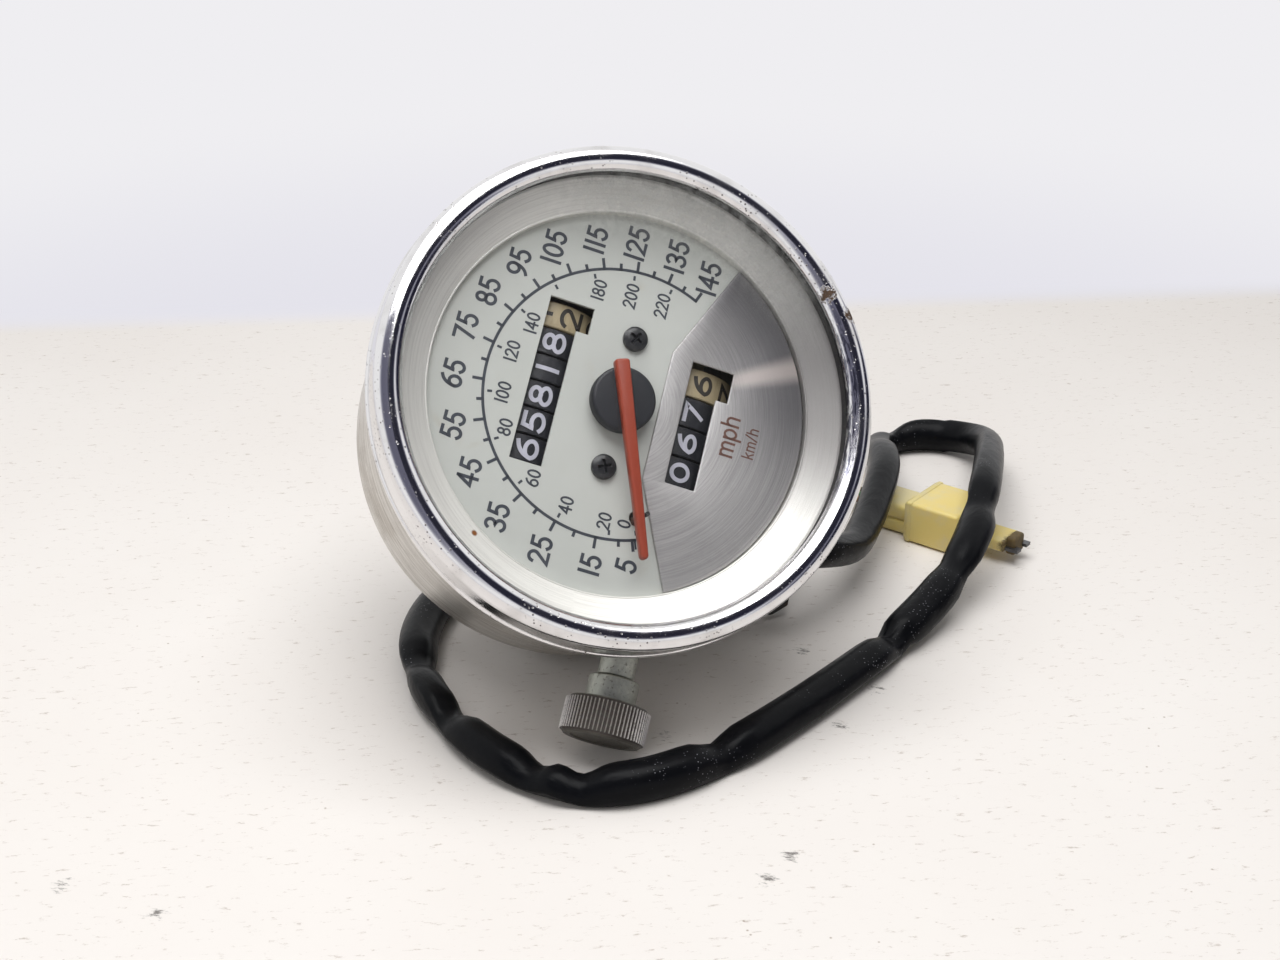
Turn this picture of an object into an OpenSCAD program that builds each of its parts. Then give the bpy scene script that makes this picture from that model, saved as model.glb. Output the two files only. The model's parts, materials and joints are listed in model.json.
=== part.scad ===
// Cable-driven speedometer with odometer, trip counter, reset knob and wiring harness.
// Every piece of the instrument is drawn in its own frame: the origin is the centre of the
// bezel's lip, +Z comes out of the face, +X is the dial's reading direction. posed() then
// lays the instrument on the table, face up, rolled over on its reset knob.

/* [Pose on the table] */
// Height angle of the face's normal above the table
tilt = 34.5; // [25:0.5:45]
// How far the face is turned to the right
turn = 20.6; // [0:0.1:45]
// How far the dial is rolled about its own axis
roll = 64.2; // [45:0.1:80]
// Sideways place of the face's centre
face_x = 5.46; // [-20:0.01:20]
// Place of the face's centre in depth
face_y = -24.56; // [-60:0.01:0]

/* [Bezel and glass] */
// Width of the bezel's lip, seen from the front
lip_w = 5.7; // [4.8:0.1:6.6]
// Outer radius of the bezel
bezel_r = 51.2; // [50.6:0.1:54]
// Depth of the bezel's skirt behind the lip
bezel_depth = 9.6; // [9.2:0.1:12]
// Thickness of the bezel's metal
bezel_wall = 0.9; // [0.6:0.1:1]
// Depth of the glass behind the lip
glass_depth = 1.3; // [1.2:0.1:1.6]
// Thickness of the glass
glass_t = 2; // [1.6:0.1:2.2]
// Thickness of the rubber ring under the glass
gasket_t = 2.2; // [1.8:0.1:2.6]
// Thickness of the trim ring's outer flange
trim_flange_t = 1.4; // [1:0.1:1.8]
// Width of the trim cone, seen from the front
trim_w = 6; // [5:0.1:7.5]
// Height of the trim cone's inner edge above the dial
trim_edge_h = 2; // [1.4:0.1:2.4]

/* [Case] */
// How far the case's wall lies inside the bezel's outside
cup_inset = 2.8; // [2.4:0.1:3.2]
// Depth of the case's rear face behind the lip
case_depth = 57; // [56.5:0.1:60]
// Wall of the case cup
cup_wall = 1.4; // [1:0.1:1.6]
// How much smaller the cup's radius is at the rear
cup_taper = 1.8; // [0:0.1:3]
// Radius of the cup's rear corner
cup_corner = 7; // [4:0.5:8]
// Thickness of the cup's front flange
flange_t = 1.2; // [0.9:0.1:1.4]
// Gap between the flange's rim and the edge of the glass
flange_gap = 0.1; // [0.1:0.05:0.5]

/* [Dial] */
// Depth of the dial's face behind the lip
dial_depth = 10.4; // [10:0.1:10.8]
// Thickness of the dial plate
dial_t = 0.8; // [0.6:0.1:1]
// Thickness of the raised sector plate
sector_t = 0.8; // [0.6:0.1:1]
// Half width of the sector plate's straight inner edge
sector_half_w = 13.6; // [12:0.1:15]
// Height of the sector plate's inner edge below the dial's centre
sector_y = 8.2; // [7:0.1:9]
// Slope of the sector plate's outer edges
sector_slope = 24.5; // [20:0.5:32]
// Distance of each dial screw from the centre
screw_x = 13.8; // [13:0.1:15]
// Radius of a dial screw's head
screw_head_r = 2.55; // [2:0.05:3]
// Height of a dial screw's head
screw_head_h = 1.5; // [1:0.1:1.7]
// Radius of a dial screw's shank
screw_shank_r = 1.2; // [1:0.05:1.4]

/* [Counters] */
// Height of the odometer's shaft above the dial's centre
odo_y = 15.5; // [15:0.1:16]
// Depth of the trip shaft below the dial's centre
trip_y = 15.7; // [15.2:0.1:16.2]
// Outer radius of a number drum
drum_r = 10.4; // [9.8:0.1:10.6]
// Gap between the drums and the back of the dial
drum_gap = 0.9; // [0.7:0.1:1.5]
// Pitch of the odometer's drums
odo_pitch = 5.7; // [5.2:0.05:5.8]
// Pitch of the trip counter's drums
trip_pitch = 6.4; // [6:0.05:6.6]
// Gap between two drums
drum_space = 0.3; // [0.2:0.05:0.5]
// Wall of a drum's rim
drum_wall = 1.3; // [1:0.1:2]
// Radius of a drum's hub
hub_r = 3; // [2.5:0.1:4]
// Radius of the counters' shafts
shaft_r = 1.5; // [1.2:0.05:2]
// Height of the odometer window
odo_window_h = 6.8; // [6:0.1:7]
// Depth of the trip window's middle below the dial's centre
trip_window_y = 16.1; // [15.6:0.1:16.4]
// Height of the trip window
trip_window_h = 6.4; // [6:0.1:6.8]
// How far a window drops below its line at the tenths drum
notch_h = 2.6; // [2:0.1:3]

/* [Pointer and drive] */
// Angle of the needle at rest, from the reading direction
needle_rest = 201; // [195:0.5:205]
// Length of the needle from the centre to its tip
needle_len = 31.7; // [29:0.1:33]
// Length of the needle's tail
needle_tail = 7.7; // [6.5:0.1:9]
// Width of the needle at its tail
needle_w = 2.9; // [2.4:0.1:3.2]
// Width of the needle at its tip
needle_tip_w = 1.7; // [1.4:0.1:2]
// Thickness of the needle
needle_t = 1.3; // [1:0.1:1.6]
// Radius of the needle's hub
needle_hub_r = 6.2; // [5.5:0.1:7]
// Height of the needle's hub
needle_hub_h = 2.9; // [2.5:0.1:3.2]
// Gap between the hub and the dial
needle_gap = 1.3; // [1:0.1:1.6]
// Radius of the zero stop pin
stop_pin_r = 0.45; // [0.3:0.05:0.6]
// Distance of the stop pin along the needle
stop_pin_reach = 23.6; // [22:0.1:25]
// Radius of the pointer's spindle
spindle_r = 0.75; // [0.6:0.05:1]
// Radius of the drag cup
speed_cup_r = 9.6; // [8.5:0.1:10]
// Radius of the magnet
magnet_r = 8.2; // [7.5:0.1:8.8]
// Radius of the drive spindle
drive_r = 2; // [1.6:0.1:2.4]
// Teeth on the lay shaft's wheel
lay_teeth = 18; // [16:1:19]
// Teeth on the upright shaft's wheel
upright_teeth = 33; // [30:1:34]
// Teeth on each counter's drive gear
counter_teeth = 30; // [28:2:30]

/* [Reset knob] */
// Distance of the knob's end from the dial's centre line
knob_reach = 64.9; // [62:0.1:68]
// Length of the knurled rim
knurl_len = 7.8; // [6:0.1:9]
// Radius of the knurled rim
knurl_r = 8.8; // [8:0.1:10]
// Ridges round the knob
knurl_count = 64; // [48:1:72]
// Depth of the knurl
knurl_depth = 0.45; // [0.3:0.05:0.55]
// Length of the knob's boss
knob_boss_len = 5; // [4:0.1:6]
// Radius of the knob's boss
knob_boss_r = 5.2; // [4.6:0.1:6]
// Radius of the bush between case and knob
knob_bush_r = 3.8; // [3.2:0.1:4.4]

/* [Rear mounting] */
// Sideways place of each mounting stud
stud_x = 30; // [28:0.1:31]
// Height of the studs below the centre
stud_y = 10; // [8:0.1:12]
// Radius of a stud
stud_r = 3; // [2.5:0.1:3.5]
// Thickness of the rubber damper between case and bracket
damper_front_t = 3; // [2.6:0.1:5]
// Thickness of the rubber damper behind the bracket
damper_rear_t = 4; // [3:0.1:6]
// Radius of a rubber damper
damper_r = 8; // [7:0.1:9]
// Thickness of the bracket's steel
bracket_t = 2.3; // [2:0.1:3]
// Half width of the bracket's lower leg
bracket_half_w = 21.4; // [19:0.1:24]
// Reach of the bracket below the centre
bracket_reach = 61; // [56:0.5:66]
// Radius of a hole in the bracket's leg
bracket_hole_r = 4.2; // [3.2:0.1:5.2]
// Distance between the two holes in the leg
bracket_hole_pitch = 26; // [20:0.5:28]
// Thickness of a washer
washer_t = 1.5; // [1:0.1:2]
// Height of a dome nut's hexagon
nut_h = 5.6; // [5:0.1:7]
// Radius of a dome nut's dome
dome_r = 4.6; // [4.2:0.1:4.9]
// Radius of the cable union's spigot
union_r = 6; // [5:0.1:7]
// Length of the cable union's spigot
union_len = 16.5; // [14:0.5:20]

/* [Harness] */
// Diameter of the harness sleeve
sleeve_d = 8.2; // [7:0.1:8.6]
// Diameter of one wire
wire_d = 1.8; // [1.4:0.1:2.2]
// Depth of the harness grommet behind the lip
grommet_depth = 45; // [42:0.5:46]
// Sideways place of the grommet
grommet_x = -8; // [-12:0.5:-4]
// How far the grommet stands out of the case
grommet_h = 4; // [3:0.1:6]
// Wall of the grommet round the sleeve
grommet_wall = 1.8; // [1.4:0.1:2.4]
// Height of the connector's block
block_h = 10.4; // [9:0.1:10.6]
// Height of the connector's rear part
block_rear_h = 7.6; // [6.5:0.1:7.8]
// Height of the connector's tongue
tongue_h = 6.6; // [5:0.1:7.4]

/* [Fits] */
// Radial clearance of a running fit
run_clear = 0.05; // [0.02:0.01:0.1]
// Radial clearance of a fixed fit
fit_clear = 0.03; // [0.01:0.01:0.1]
// Clearance between pieces that must not touch
part_clear = 0.2; // [0.15:0.05:0.4]

/* [Hidden] */
$fn = 96;

// Levels behind the lip, all counted downwards as negative heights
glass_back = -(glass_depth + glass_t);
gasket_back = glass_back - gasket_t;
trim_flange_back = gasket_back - trim_flange_t;
flange_back = trim_flange_back - flange_t;
dial_z = -dial_depth;
dial_back = dial_z - dial_t;
sector_top = dial_z + sector_t;
drum_z = dial_back - drum_gap - drum_r;
rear_z = -case_depth;
rear_inner_z = rear_z + cup_wall;
frame_top_z = rear_inner_z + 12.6;
frame_t = 2.5;
frame_back_z = frame_top_z - frame_t;
bridge_top_z = dial_back - 2.3;
bridge_t = 2;
stop_arm_t = 1.2;

// Front stack radii
lip_r = bezel_r - lip_w;
cup_r = bezel_r - cup_inset;
cup_inner_r = cup_r - cup_wall;
cup_rear_r = cup_r - cup_taper;
bead_r = (bezel_r - lip_r) / 2;
bead_mid_r = lip_r + bead_r;
stack_r = bezel_r - bezel_wall - part_clear;
flange_r = stack_r - flange_gap;
trim_inner_r = lip_r - trim_w;
trim_outer_r = lip_r + 0.2;
dial_lap = 4;
dial_r = trim_inner_r + dial_lap;
plate_gap = 5.2;

// Counter places
odo_count = 6;
trip_count = 4;
odo_half = odo_count * odo_pitch / 2;
trip_half = trip_count * trip_pitch / 2;
window_edge = 0.3;
cheek_left_x = -(odo_half + 3.5);
cheek_t = 1.6;
gear_x = odo_half + 2;
gear_w = 5.2;
spur_w = 1.6;
spur_x = gear_x + gear_w - spur_w;
cheek_right_x = gear_x + gear_w + 0.8;
idler_teeth = 22;
gear_module = (odo_y + trip_y) / (counter_teeth + idler_teeth);
gear_r = gear_module * counter_teeth / 2;
gear_tip = gear_r + gear_module;
idler_y = (odo_y - trip_y) / 2;

// Worm train places
worm_r = 2.3;
upright_x = spur_x - part_clear - worm_r;
upright_y = odo_y - gear_tip - part_clear - worm_r;
upright_tip = gear_module * (upright_teeth / 2 + 1);
lay_y = upright_y - upright_tip - part_clear - worm_r;
lay_tip = gear_module * (lay_teeth / 2 + 1);
lay_z = frame_top_z - part_clear - lay_tip;
layshaft_r = 1.2;
drive_worm_r = -lay_y - lay_tip - part_clear;

// Needle levels
hub_z = dial_z + needle_gap;
needle_z = hub_z + needle_hub_h - 0.6;
stop_offset = needle_w / 2 - (needle_w - needle_tip_w) / 2 * stop_pin_reach / needle_len
    + stop_pin_r + part_clear;

// Rear stack levels
bracket_front_z = rear_z - damper_front_t;
bracket_back_z = bracket_front_z - bracket_t;
washer_front_z = bracket_back_z - damper_rear_t;
nut_front_z = washer_front_z - washer_t;
dome_z = nut_front_z - nut_h;
union_flange_t = 2.5;
boss_in = 2;
union_back_z = rear_z - union_flange_t - union_len;

// The knob and what lies in line with it
knob_end_x = -knob_reach;
knurl_x = knob_end_x + knurl_len;
knob_front_x = knurl_x + knob_boss_len;
bush_out_x = knob_front_x + 0.3;
bush_flange_r = knob_bush_r + 2.2;
bush_flange_t = 1.4;
seal_t = 1.6;
seal_x = -sqrt(pow(cup_inner_r - cup_taper, 2) - pow(trip_y + bush_flange_r, 2)) + part_clear;
bush_in_x = seal_x + seal_t + bush_flange_t;
knob_chamfer = 0.6;

// Height of the face's centre: the knob's end rests on the table
rot_x = cos(tilt) * sin(roll);
rot_y = cos(tilt) * cos(roll);
rot_z = sin(tilt);
rim_drop = (knurl_r - knob_chamfer) * sqrt(1 - rot_x * rot_x);
face_z = knob_reach * rot_x + trip_y * rot_y - drum_z * rot_z + rim_drop;

// Turns a point of the instrument's frame into the table's frame
function roll_point(p) = [
    p[0] * cos(roll) - p[1] * sin(roll),
    p[0] * sin(roll) + p[1] * cos(roll),
    p[2]
];
function tilt_point(p) = [
    p[0],
    p[1] * sin(tilt) - p[2] * cos(tilt),
    p[1] * cos(tilt) + p[2] * sin(tilt)
];
function turn_point(p) = [
    p[0] * cos(turn) - p[1] * sin(turn),
    p[0] * sin(turn) + p[1] * cos(turn),
    p[2]
];
function on_table(p) = turn_point(tilt_point(roll_point(p))) + [face_x, face_y, face_z];

// Route of the harness sleeve on the table, from the grommet to the connector's wires
grommet_foot_r = cup_rear_r + 0.5;
grommet_out_y = -(grommet_foot_r + grommet_h);
sleeve_route = concat(
    [for (d = [0, 8]) on_table([grommet_x, grommet_out_y - d, -grommet_depth])],
    [
        [55, 23, 13.5], [60, 37, 12.2], [64, 51, 12.6], [67.5, 66, 13.2], [68.6, 79, 11.5],
        [69, 91, 7], [71.5, 101, 4.8], [78.5, 107, 4.5], [87.5, 107.5, 4.7], [95, 102, 6],
        [97.6, 92, 9], [96, 79, 12.4], [93, 63, 15.6], [89.5, 47, 17], [85, 31, 14],
        [77, 15, 9.5], [67, 2, 5.5], [56, -11.5, 4.5], [40, -31, 4.5], [25, -47, 4.5], [11, -57, 4.5],
        [-1, -60, 4.5], [-12, -57, 4.5], [-23, -48, 4.5], [-33, -34, 4.5],
        [-39, -21, 4.5], [-42, -4, 4.5], [-40, 13, 4.5], [-33, 28, 4.5],
        [-21, 40, 4.5], [-6, 48, 4.5], [10, 56, 4.5], [24, 62, 4.5]
    ]
);

// Route of the wires: they start inside the sleeve's end and end inside the connector
wire_route = [
    [21, 60.7, 4.5], [31, 66, 4.5], [42, 72, 4.5],
    [52, 75.5, 4.5], [60, 72, 4.5], [66.6, 66.8, 4.5]
];
wire_spread = 2.6;
wire_side_start = [-0.42, 0.91, 0];
wire_side_end = [0.62, 0.79, 0];
function wire_point(i, k) =
    let (part = i / (len(wire_route) - 1))
    wire_route[i] + k * wire_spread * ((1 - part) * wire_side_start + part * wire_side_end);
connector_place = [65, 68, 0.3];
connector_yaw = -38;

// Swept tube along a route, with flat ends
function curve_point(a, b, c, d, t) =
    0.5 * (2 * b + (c - a) * t + (2 * a - 5 * b + 4 * c - d) * t * t
    + (3 * b - a - 3 * c + d) * t * t * t);
function route_at(r, i) = r[max(0, min(len(r) - 1, i))];
function smooth_route(r, steps) = concat(
    [for (i = [0 : len(r) - 2], k = [0 : steps - 1])
        curve_point(route_at(r, i - 1), r[i], r[i + 1], route_at(r, i + 2), k / steps)],
    [r[len(r) - 1]]
);
function unit(p) = p / norm(p);
function heading(r, i) = unit(route_at(r, i + 1) - route_at(r, i - 1));
function ring_at(r, i, rad, sides) =
    let (along = heading(r, i))
    let (side = unit(cross(along, [0, 0, 1])))
    let (up = cross(side, along))
    [for (k = [0 : sides - 1])
        r[i] + rad * (cos(360 * k / sides) * side + sin(360 * k / sides) * up)];

module swept_tube(route, rad, sides, steps) {
    path = smooth_route(route, steps);
    rings = len(path);
    points = [for (i = [0 : rings - 1]) each ring_at(path, i, rad, sides)];
    last = (rings - 1) * sides;
    walls = [for (i = [0 : rings - 2], k = [0 : sides - 1])
        let (a = i * sides + k)
        let (b = i * sides + (k + 1) % sides)
        each [[a, b, b + sides], [a, b + sides, a + sides]]];
    start_cap = [for (k = [1 : sides - 2]) [0, k + 1, k]];
    end_cap = [for (k = [1 : sides - 2]) [last, last + k, last + k + 1]];
    polyhedron(points = points, faces = concat(walls, start_cap, end_cap));
}

// Shared shapes
module posed() {
    translate([face_x, face_y, face_z])
        rotate([0, 0, turn])
            rotate([90 - tilt, 0, 0])
                rotate([0, 0, roll])
                    children();
}

module tube(outer, inner, z_low, z_high) {
    translate([0, 0, z_low])
        difference() {
            cylinder(r = outer, h = z_high - z_low);
            translate([0, 0, -1])
                cylinder(r = inner, h = z_high - z_low + 2);
        }
}

module rod(rad, z_low, z_high) {
    translate([0, 0, z_low])
        cylinder(r = rad, h = z_high - z_low);
}

// A shape drawn along Z, laid along X at a counter's shaft
module along_x(y, z) {
    translate([0, y, z])
        rotate([0, 90, 0])
            children();
}

function gear_points(teeth, phase) =
    let (pitch_r = gear_module * teeth / 2)
    let (root = pitch_r - 1.2 * gear_module)
    let (tip = pitch_r + 0.9 * gear_module)
    let (step = 360 / teeth)
    [for (i = [0 : teeth - 1])
        each [for (c = [[root, -0.32], [tip, -0.11], [tip, 0.11], [root, 0.32]])
            let (a = phase + step * (i + c[1]))
            [c[0] * cos(a), c[0] * sin(a)]]];

module gear_disc(teeth, phase, width) {
    linear_extrude(width)
        polygon(gear_points(teeth, phase));
}

module both_sides(x) {
    for (s = [-1, 1])
        translate([s * x, 0, 0])
            children();
}

// Bezel and glass
module bezel_ring() {
    skirt_r = bezel_r - bezel_wall;
    crimp_r = cup_r + part_clear;
    color("silver") posed() rotate_extrude($fn = 180)
        difference() {
            union() {
                translate([bead_mid_r, -bead_r + 0.6])
                    circle(r = bead_r);
                translate([skirt_r - 0.2, -bezel_depth])
                    square([bezel_wall + 0.2, bezel_depth - bead_r + 0.6]);
                translate([bezel_r - 0.5, -bezel_depth + 0.9])
                    circle(r = 0.9);
                translate([crimp_r, -bezel_depth])
                    square([bezel_r - crimp_r - 0.4, bezel_depth + flange_back - fit_clear]);
            }
            translate([crimp_r - 8, flange_back - fit_clear])
                square([skirt_r - crimp_r + 8, -glass_depth - flange_back + 2 * fit_clear]);
        }
}

module glass_lens() {
    color("lightcyan", 0.4) posed()
        rod(stack_r, glass_back, -glass_depth);
}

module lens_gasket() {
    color([0.1, 0.1, 0.1]) posed()
        tube(stack_r, trim_outer_r, gasket_back, glass_back);
}

module trim_ring() {
    cone_t = 1.1;
    edge_z = dial_z + trim_edge_h;
    color("gainsboro") posed() rotate_extrude($fn = 180)
        polygon([
            [trim_outer_r, gasket_back],
            [stack_r, gasket_back],
            [stack_r, trim_flange_back],
            [trim_outer_r - 0.4, trim_flange_back],
            [trim_inner_r + cone_t, edge_z - cone_t],
            [trim_inner_r + cone_t, dial_z],
            [trim_inner_r, dial_z],
            [trim_inner_r, edge_z]
        ]);
}

// Dial
module odo_window(grow) {
    low = odo_y - odo_window_h / 2 - grow;
    translate([-odo_half - window_edge - grow, low])
        square([2 * (odo_half + window_edge + grow), odo_window_h + 2 * grow]);
    translate([odo_half - odo_pitch + window_edge - grow, low - notch_h])
        square([odo_pitch + 2 * grow, notch_h + 1]);
}

module trip_window(grow) {
    low = -trip_window_y - trip_window_h / 2 - grow;
    translate([-trip_half - window_edge - grow, low])
        square([2 * (trip_half + window_edge + grow), trip_window_h + 2 * grow]);
    translate([trip_half - trip_pitch + window_edge - grow, low - notch_h])
        square([trip_pitch + 2 * grow, notch_h + 1]);
}

module at_stop_pin() {
    rotate([0, 0, needle_rest])
        translate([stop_pin_reach, stop_offset, 0])
            children();
}

module dial_plate() {
    stop_hole_r = 1.5;
    color("ivory") posed() difference() {
        rod(dial_r, dial_back, dial_z);
        translate([0, 0, dial_back - 1])
            linear_extrude(dial_t + 2) {
                odo_window(0);
                trip_window(0.6);
            }
        rod(spindle_r + 1.2, dial_back - 1, dial_z + 1);
        both_sides(screw_x)
            rod(screw_shank_r + fit_clear, dial_back - 1, dial_z + 1);
        rotate([0, 0, needle_rest])
            translate([stop_pin_reach, stop_offset - 1, 0])
                rod(stop_hole_r, dial_back - 1, dial_z + 1);
    }
}

module sector_plate() {
    plate_r = trim_inner_r - part_clear;
    far_x = 2 * plate_r;
    far_y = -sector_y - (far_x - sector_half_w) * tan(sector_slope);
    color("lightgray") posed() difference() {
        intersection() {
            rod(plate_r, dial_z, sector_top);
            translate([0, 0, dial_z])
                linear_extrude(sector_t)
                    polygon([
                        [-sector_half_w, -sector_y],
                        [-far_x, far_y],
                        [-far_x, -far_x],
                        [far_x, -far_x],
                        [far_x, far_y],
                        [sector_half_w, -sector_y]
                    ]);
        }
        translate([0, 0, dial_z - 1])
            linear_extrude(sector_t + 2)
                trip_window(0);
    }
}

module dial_screws() {
    slot_w = 0.7;
    slot_len = 3;
    color([0.12, 0.12, 0.12]) posed() both_sides(screw_x) {
        difference() {
            rod(screw_head_r, dial_z, dial_z + screw_head_h);
            for (a = [20, 110])
                rotate([0, 0, a])
                    translate([-slot_len / 2, -slot_w / 2, dial_z + screw_head_h - 0.7])
                        cube([slot_len, slot_w, 2]);
        }
        rod(screw_shank_r, bridge_top_z - bridge_t - 6, dial_z);
    }
}

module zero_stop_pin() {
    color("dimgray") posed() at_stop_pin()
        rod(stop_pin_r, bridge_top_z - stop_arm_t, needle_z + needle_t);
}

// Case
module cup_profile(shrink) {
    rear_r = cup_rear_r - shrink;
    corner = cup_corner - shrink;
    low = rear_z + shrink;
    polygon([
        [0, low],
        [rear_r - corner, low],
        [rear_r, low + corner],
        [cup_r - shrink, trim_flange_back],
        [0, trim_flange_back]
    ]);
    translate([rear_r - corner, low + corner])
        circle(r = corner);
}

module at_pillars() {
    for (p = [[-28, 18], [27, 18], [0, -30]])
        translate([p[0], p[1], 0])
            children();
}

module case_cup() {
    color("silver") posed() difference() {
        union() {
            rotate_extrude($fn = 180)
                intersection() {
                    cup_profile(0);
                    translate([0, rear_z])
                        square([2 * cup_r, case_depth]);
                }
            tube(flange_r, cup_inner_r, flange_back, trim_flange_back);
        }
        rotate_extrude($fn = 180)
            intersection() {
                cup_profile(cup_wall);
                translate([0, rear_z])
                    square([2 * cup_r, case_depth]);
            }
        rod(cup_inner_r, trim_flange_back - 0.01, trim_flange_back + 1);
        along_x(-trip_y, drum_z)
            rod(knob_bush_r + fit_clear, -cup_r - 1, -cup_inner_r + 12);
        translate([grommet_x, 0, -grommet_depth])
            rotate([90, 0, 0])
                rod(sleeve_d / 2 + grommet_wall + fit_clear, cup_inner_r - 12, cup_r + 1);
        rod(union_r - 1 + fit_clear, rear_z - 1, rear_inner_z + 1);
        translate([0, -stud_y, 0])
            both_sides(stud_x)
                rod(stud_r + fit_clear, rear_z - 1, rear_inner_z + 1);
        at_pillars()
            rod(1.6, rear_z - 1, rear_inner_z + 1);
    }
}

// Movement
module shaft_lug(x_low, x_high) {
    lug_half = 2.6;
    translate([x_low, lay_y - lug_half, lay_z - lug_half])
        cube([x_high - x_low, 2 * lug_half, frame_back_z - lay_z + lug_half]);
}

module movement_frame() {
    plate_r = cup_rear_r - cup_wall - plate_gap;
    cheek_half = 20;
    cheek_top = dial_back - 4.6;
    lug_z = dial_back - 3;
    lug_t = 1.6;
    color("darkgray") posed() difference() {
        union() {
            rod(plate_r, frame_back_z, frame_top_z);
            both_sides(screw_x)
                rod(2.2, frame_back_z, bridge_top_z - bridge_t);
            at_pillars()
                rod(3.4, rear_inner_z, frame_back_z);
            for (x = [cheek_left_x, cheek_right_x])
                translate([x, -cheek_half, frame_top_z - 0.5])
                    cube([cheek_t, 2 * cheek_half, cheek_top - frame_top_z + 0.5]);
            translate([upright_x - 2.6, upright_y - 2.6, lug_z])
                cube([cheek_right_x + cheek_t - upright_x + 2.6, 5.2, lug_t]);
            translate([cheek_right_x, upright_y - 2.6, cheek_top - 1])
                cube([cheek_t, 5.2, lug_z - cheek_top + 1.5]);
            along_x(idler_y, drum_z)
                rod(layshaft_r, spur_x, cheek_right_x + 0.5);
            shaft_lug(-6.5, -4);
            shaft_lug(7, 9.5);
        }
        along_x(odo_y, drum_z)
            rod(shaft_r + fit_clear, cheek_left_x - 1, cheek_right_x + cheek_t + 1);
        along_x(-trip_y, drum_z)
            rod(shaft_r + run_clear, cheek_left_x - 1, cheek_right_x + cheek_t + 1);
        along_x(lay_y, lay_z)
            rod(layshaft_r + run_clear, -8, 11);
        translate([upright_x, upright_y, 0])
            rod(layshaft_r + run_clear, frame_back_z - 1, lug_z + lug_t + 1);
        rod(drive_r + 1.5, frame_back_z - 1, frame_top_z + 1);
        translate([-2.2, lay_y - lay_tip - 0.6, frame_back_z - 1])
            cube([4.4, 2 * lay_tip + 1.2, frame_t + 2]);
        both_sides(screw_x)
            rod(screw_shank_r + fit_clear, bridge_top_z - bridge_t - 6.2, bridge_top_z);
        at_pillars()
            rod(1.25, rear_inner_z - 1, rear_inner_z + 7);
    }
}

module frame_screws() {
    color("gray") posed() at_pillars() {
        rod(1.25 - fit_clear, rear_z - 0.1, rear_inner_z + 6.5);
        difference() {
            rod(2.8, rear_z - 1.9, rear_z);
            translate([-3, -0.35, rear_z - 3])
                cube([6, 0.7, 1.9]);
        }
    }
}

module cable_boss() {
    bore_r = drive_r + 1;
    color("darkgray") posed() difference() {
        union() {
            rod(union_r - 1, rear_z, rear_inner_z + boss_in);
            rod(union_r + 3, rear_z - union_flange_t, rear_z);
            rod(union_r, union_back_z, rear_z - union_flange_t);
        }
        rod(bore_r + fit_clear, union_back_z - 1, rear_inner_z + 4);
    }
}

module drive_bush() {
    color("peru") posed()
        tube(drive_r + 1, drive_r + run_clear, rear_z - 6, rear_inner_z + boss_in);
}

module spindle_bridge() {
    color("darkgray") posed() difference() {
        union() {
            translate([-screw_x - 3, -3, bridge_top_z - bridge_t])
                cube([2 * screw_x + 6, 6, bridge_t]);
            rotate([0, 0, needle_rest])
                translate([0, -2.4, bridge_top_z - stop_arm_t])
                    cube([stop_pin_reach + 1.6, stop_offset + 3.7, stop_arm_t]);
            both_sides(screw_x)
                rod(2.4, bridge_top_z - 0.5, dial_back);
        }
        rod(spindle_r + run_clear, bridge_top_z - bridge_t - 1, bridge_top_z + 1);
        both_sides(screw_x)
            rod(screw_shank_r + fit_clear, bridge_top_z - bridge_t - 1, dial_back + 1);
        at_stop_pin()
            rod(stop_pin_r + fit_clear, bridge_top_z - bridge_t - 1, bridge_top_z + 1);
    }
}

module field_ring() {
    ring_inner = speed_cup_r + 0.6;
    color("slategray") posed()
        tube(ring_inner + 1, ring_inner, frame_top_z, frame_top_z + 7.5);
}

function spiral_point(turn_part, grow) =
    let (a = 360 * turn_part)
    let (rad = 1.5 + 0.9 * turn_part + grow)
    [rad * cos(a), rad * sin(a)];

module hairspring() {
    turns = 3;
    steps = 90;
    strip = 0.25;
    band = 0.7;
    color("goldenrod") posed() {
        translate([0, 0, bridge_top_z + 0.8])
            linear_extrude(band)
                polygon(concat(
                    [for (i = [0 : steps]) spiral_point(turns * i / steps, 0)],
                    [for (i = [steps : -1 : 0]) spiral_point(turns * i / steps, strip)]
                ));
        translate([spiral_point(turns, strip / 2)[0], 0, 0])
            rod(0.4, bridge_top_z, bridge_top_z + 0.8 + band);
    }
}

module odometer_shaft() {
    color("silver") posed() along_x(odo_y, drum_z)
        rod(shaft_r, cheek_left_x - 0.6, cheek_right_x + cheek_t + 0.6);
}

module at_bulbs() {
    for (p = [[-32, 8], [33, 10]])
        translate([p[0], p[1], 0])
            children();
}

module bulb_holders() {
    color("dimgray") posed() at_bulbs()
        difference() {
            rod(4.6, frame_top_z, frame_top_z + 8);
            rod(3 + fit_clear, frame_top_z + 1, frame_top_z + 9);
        }
}

module bulbs() {
    color("lightyellow", 0.6) posed() at_bulbs() {
        rod(3, frame_top_z + 1, frame_top_z + 10);
        translate([0, 0, frame_top_z + 11.5])
            sphere(r = 3.4);
    }
}

// Reset knob
module knob_bush() {
    color("darkgray") posed() along_x(-trip_y, drum_z)
        difference() {
            union() {
                rod(knob_bush_r, bush_out_x, bush_in_x);
                rod(bush_flange_r, bush_in_x - bush_flange_t, bush_in_x);
            }
            rod(shaft_r + run_clear, bush_out_x - 1, bush_in_x + 1);
        }
}

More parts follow.
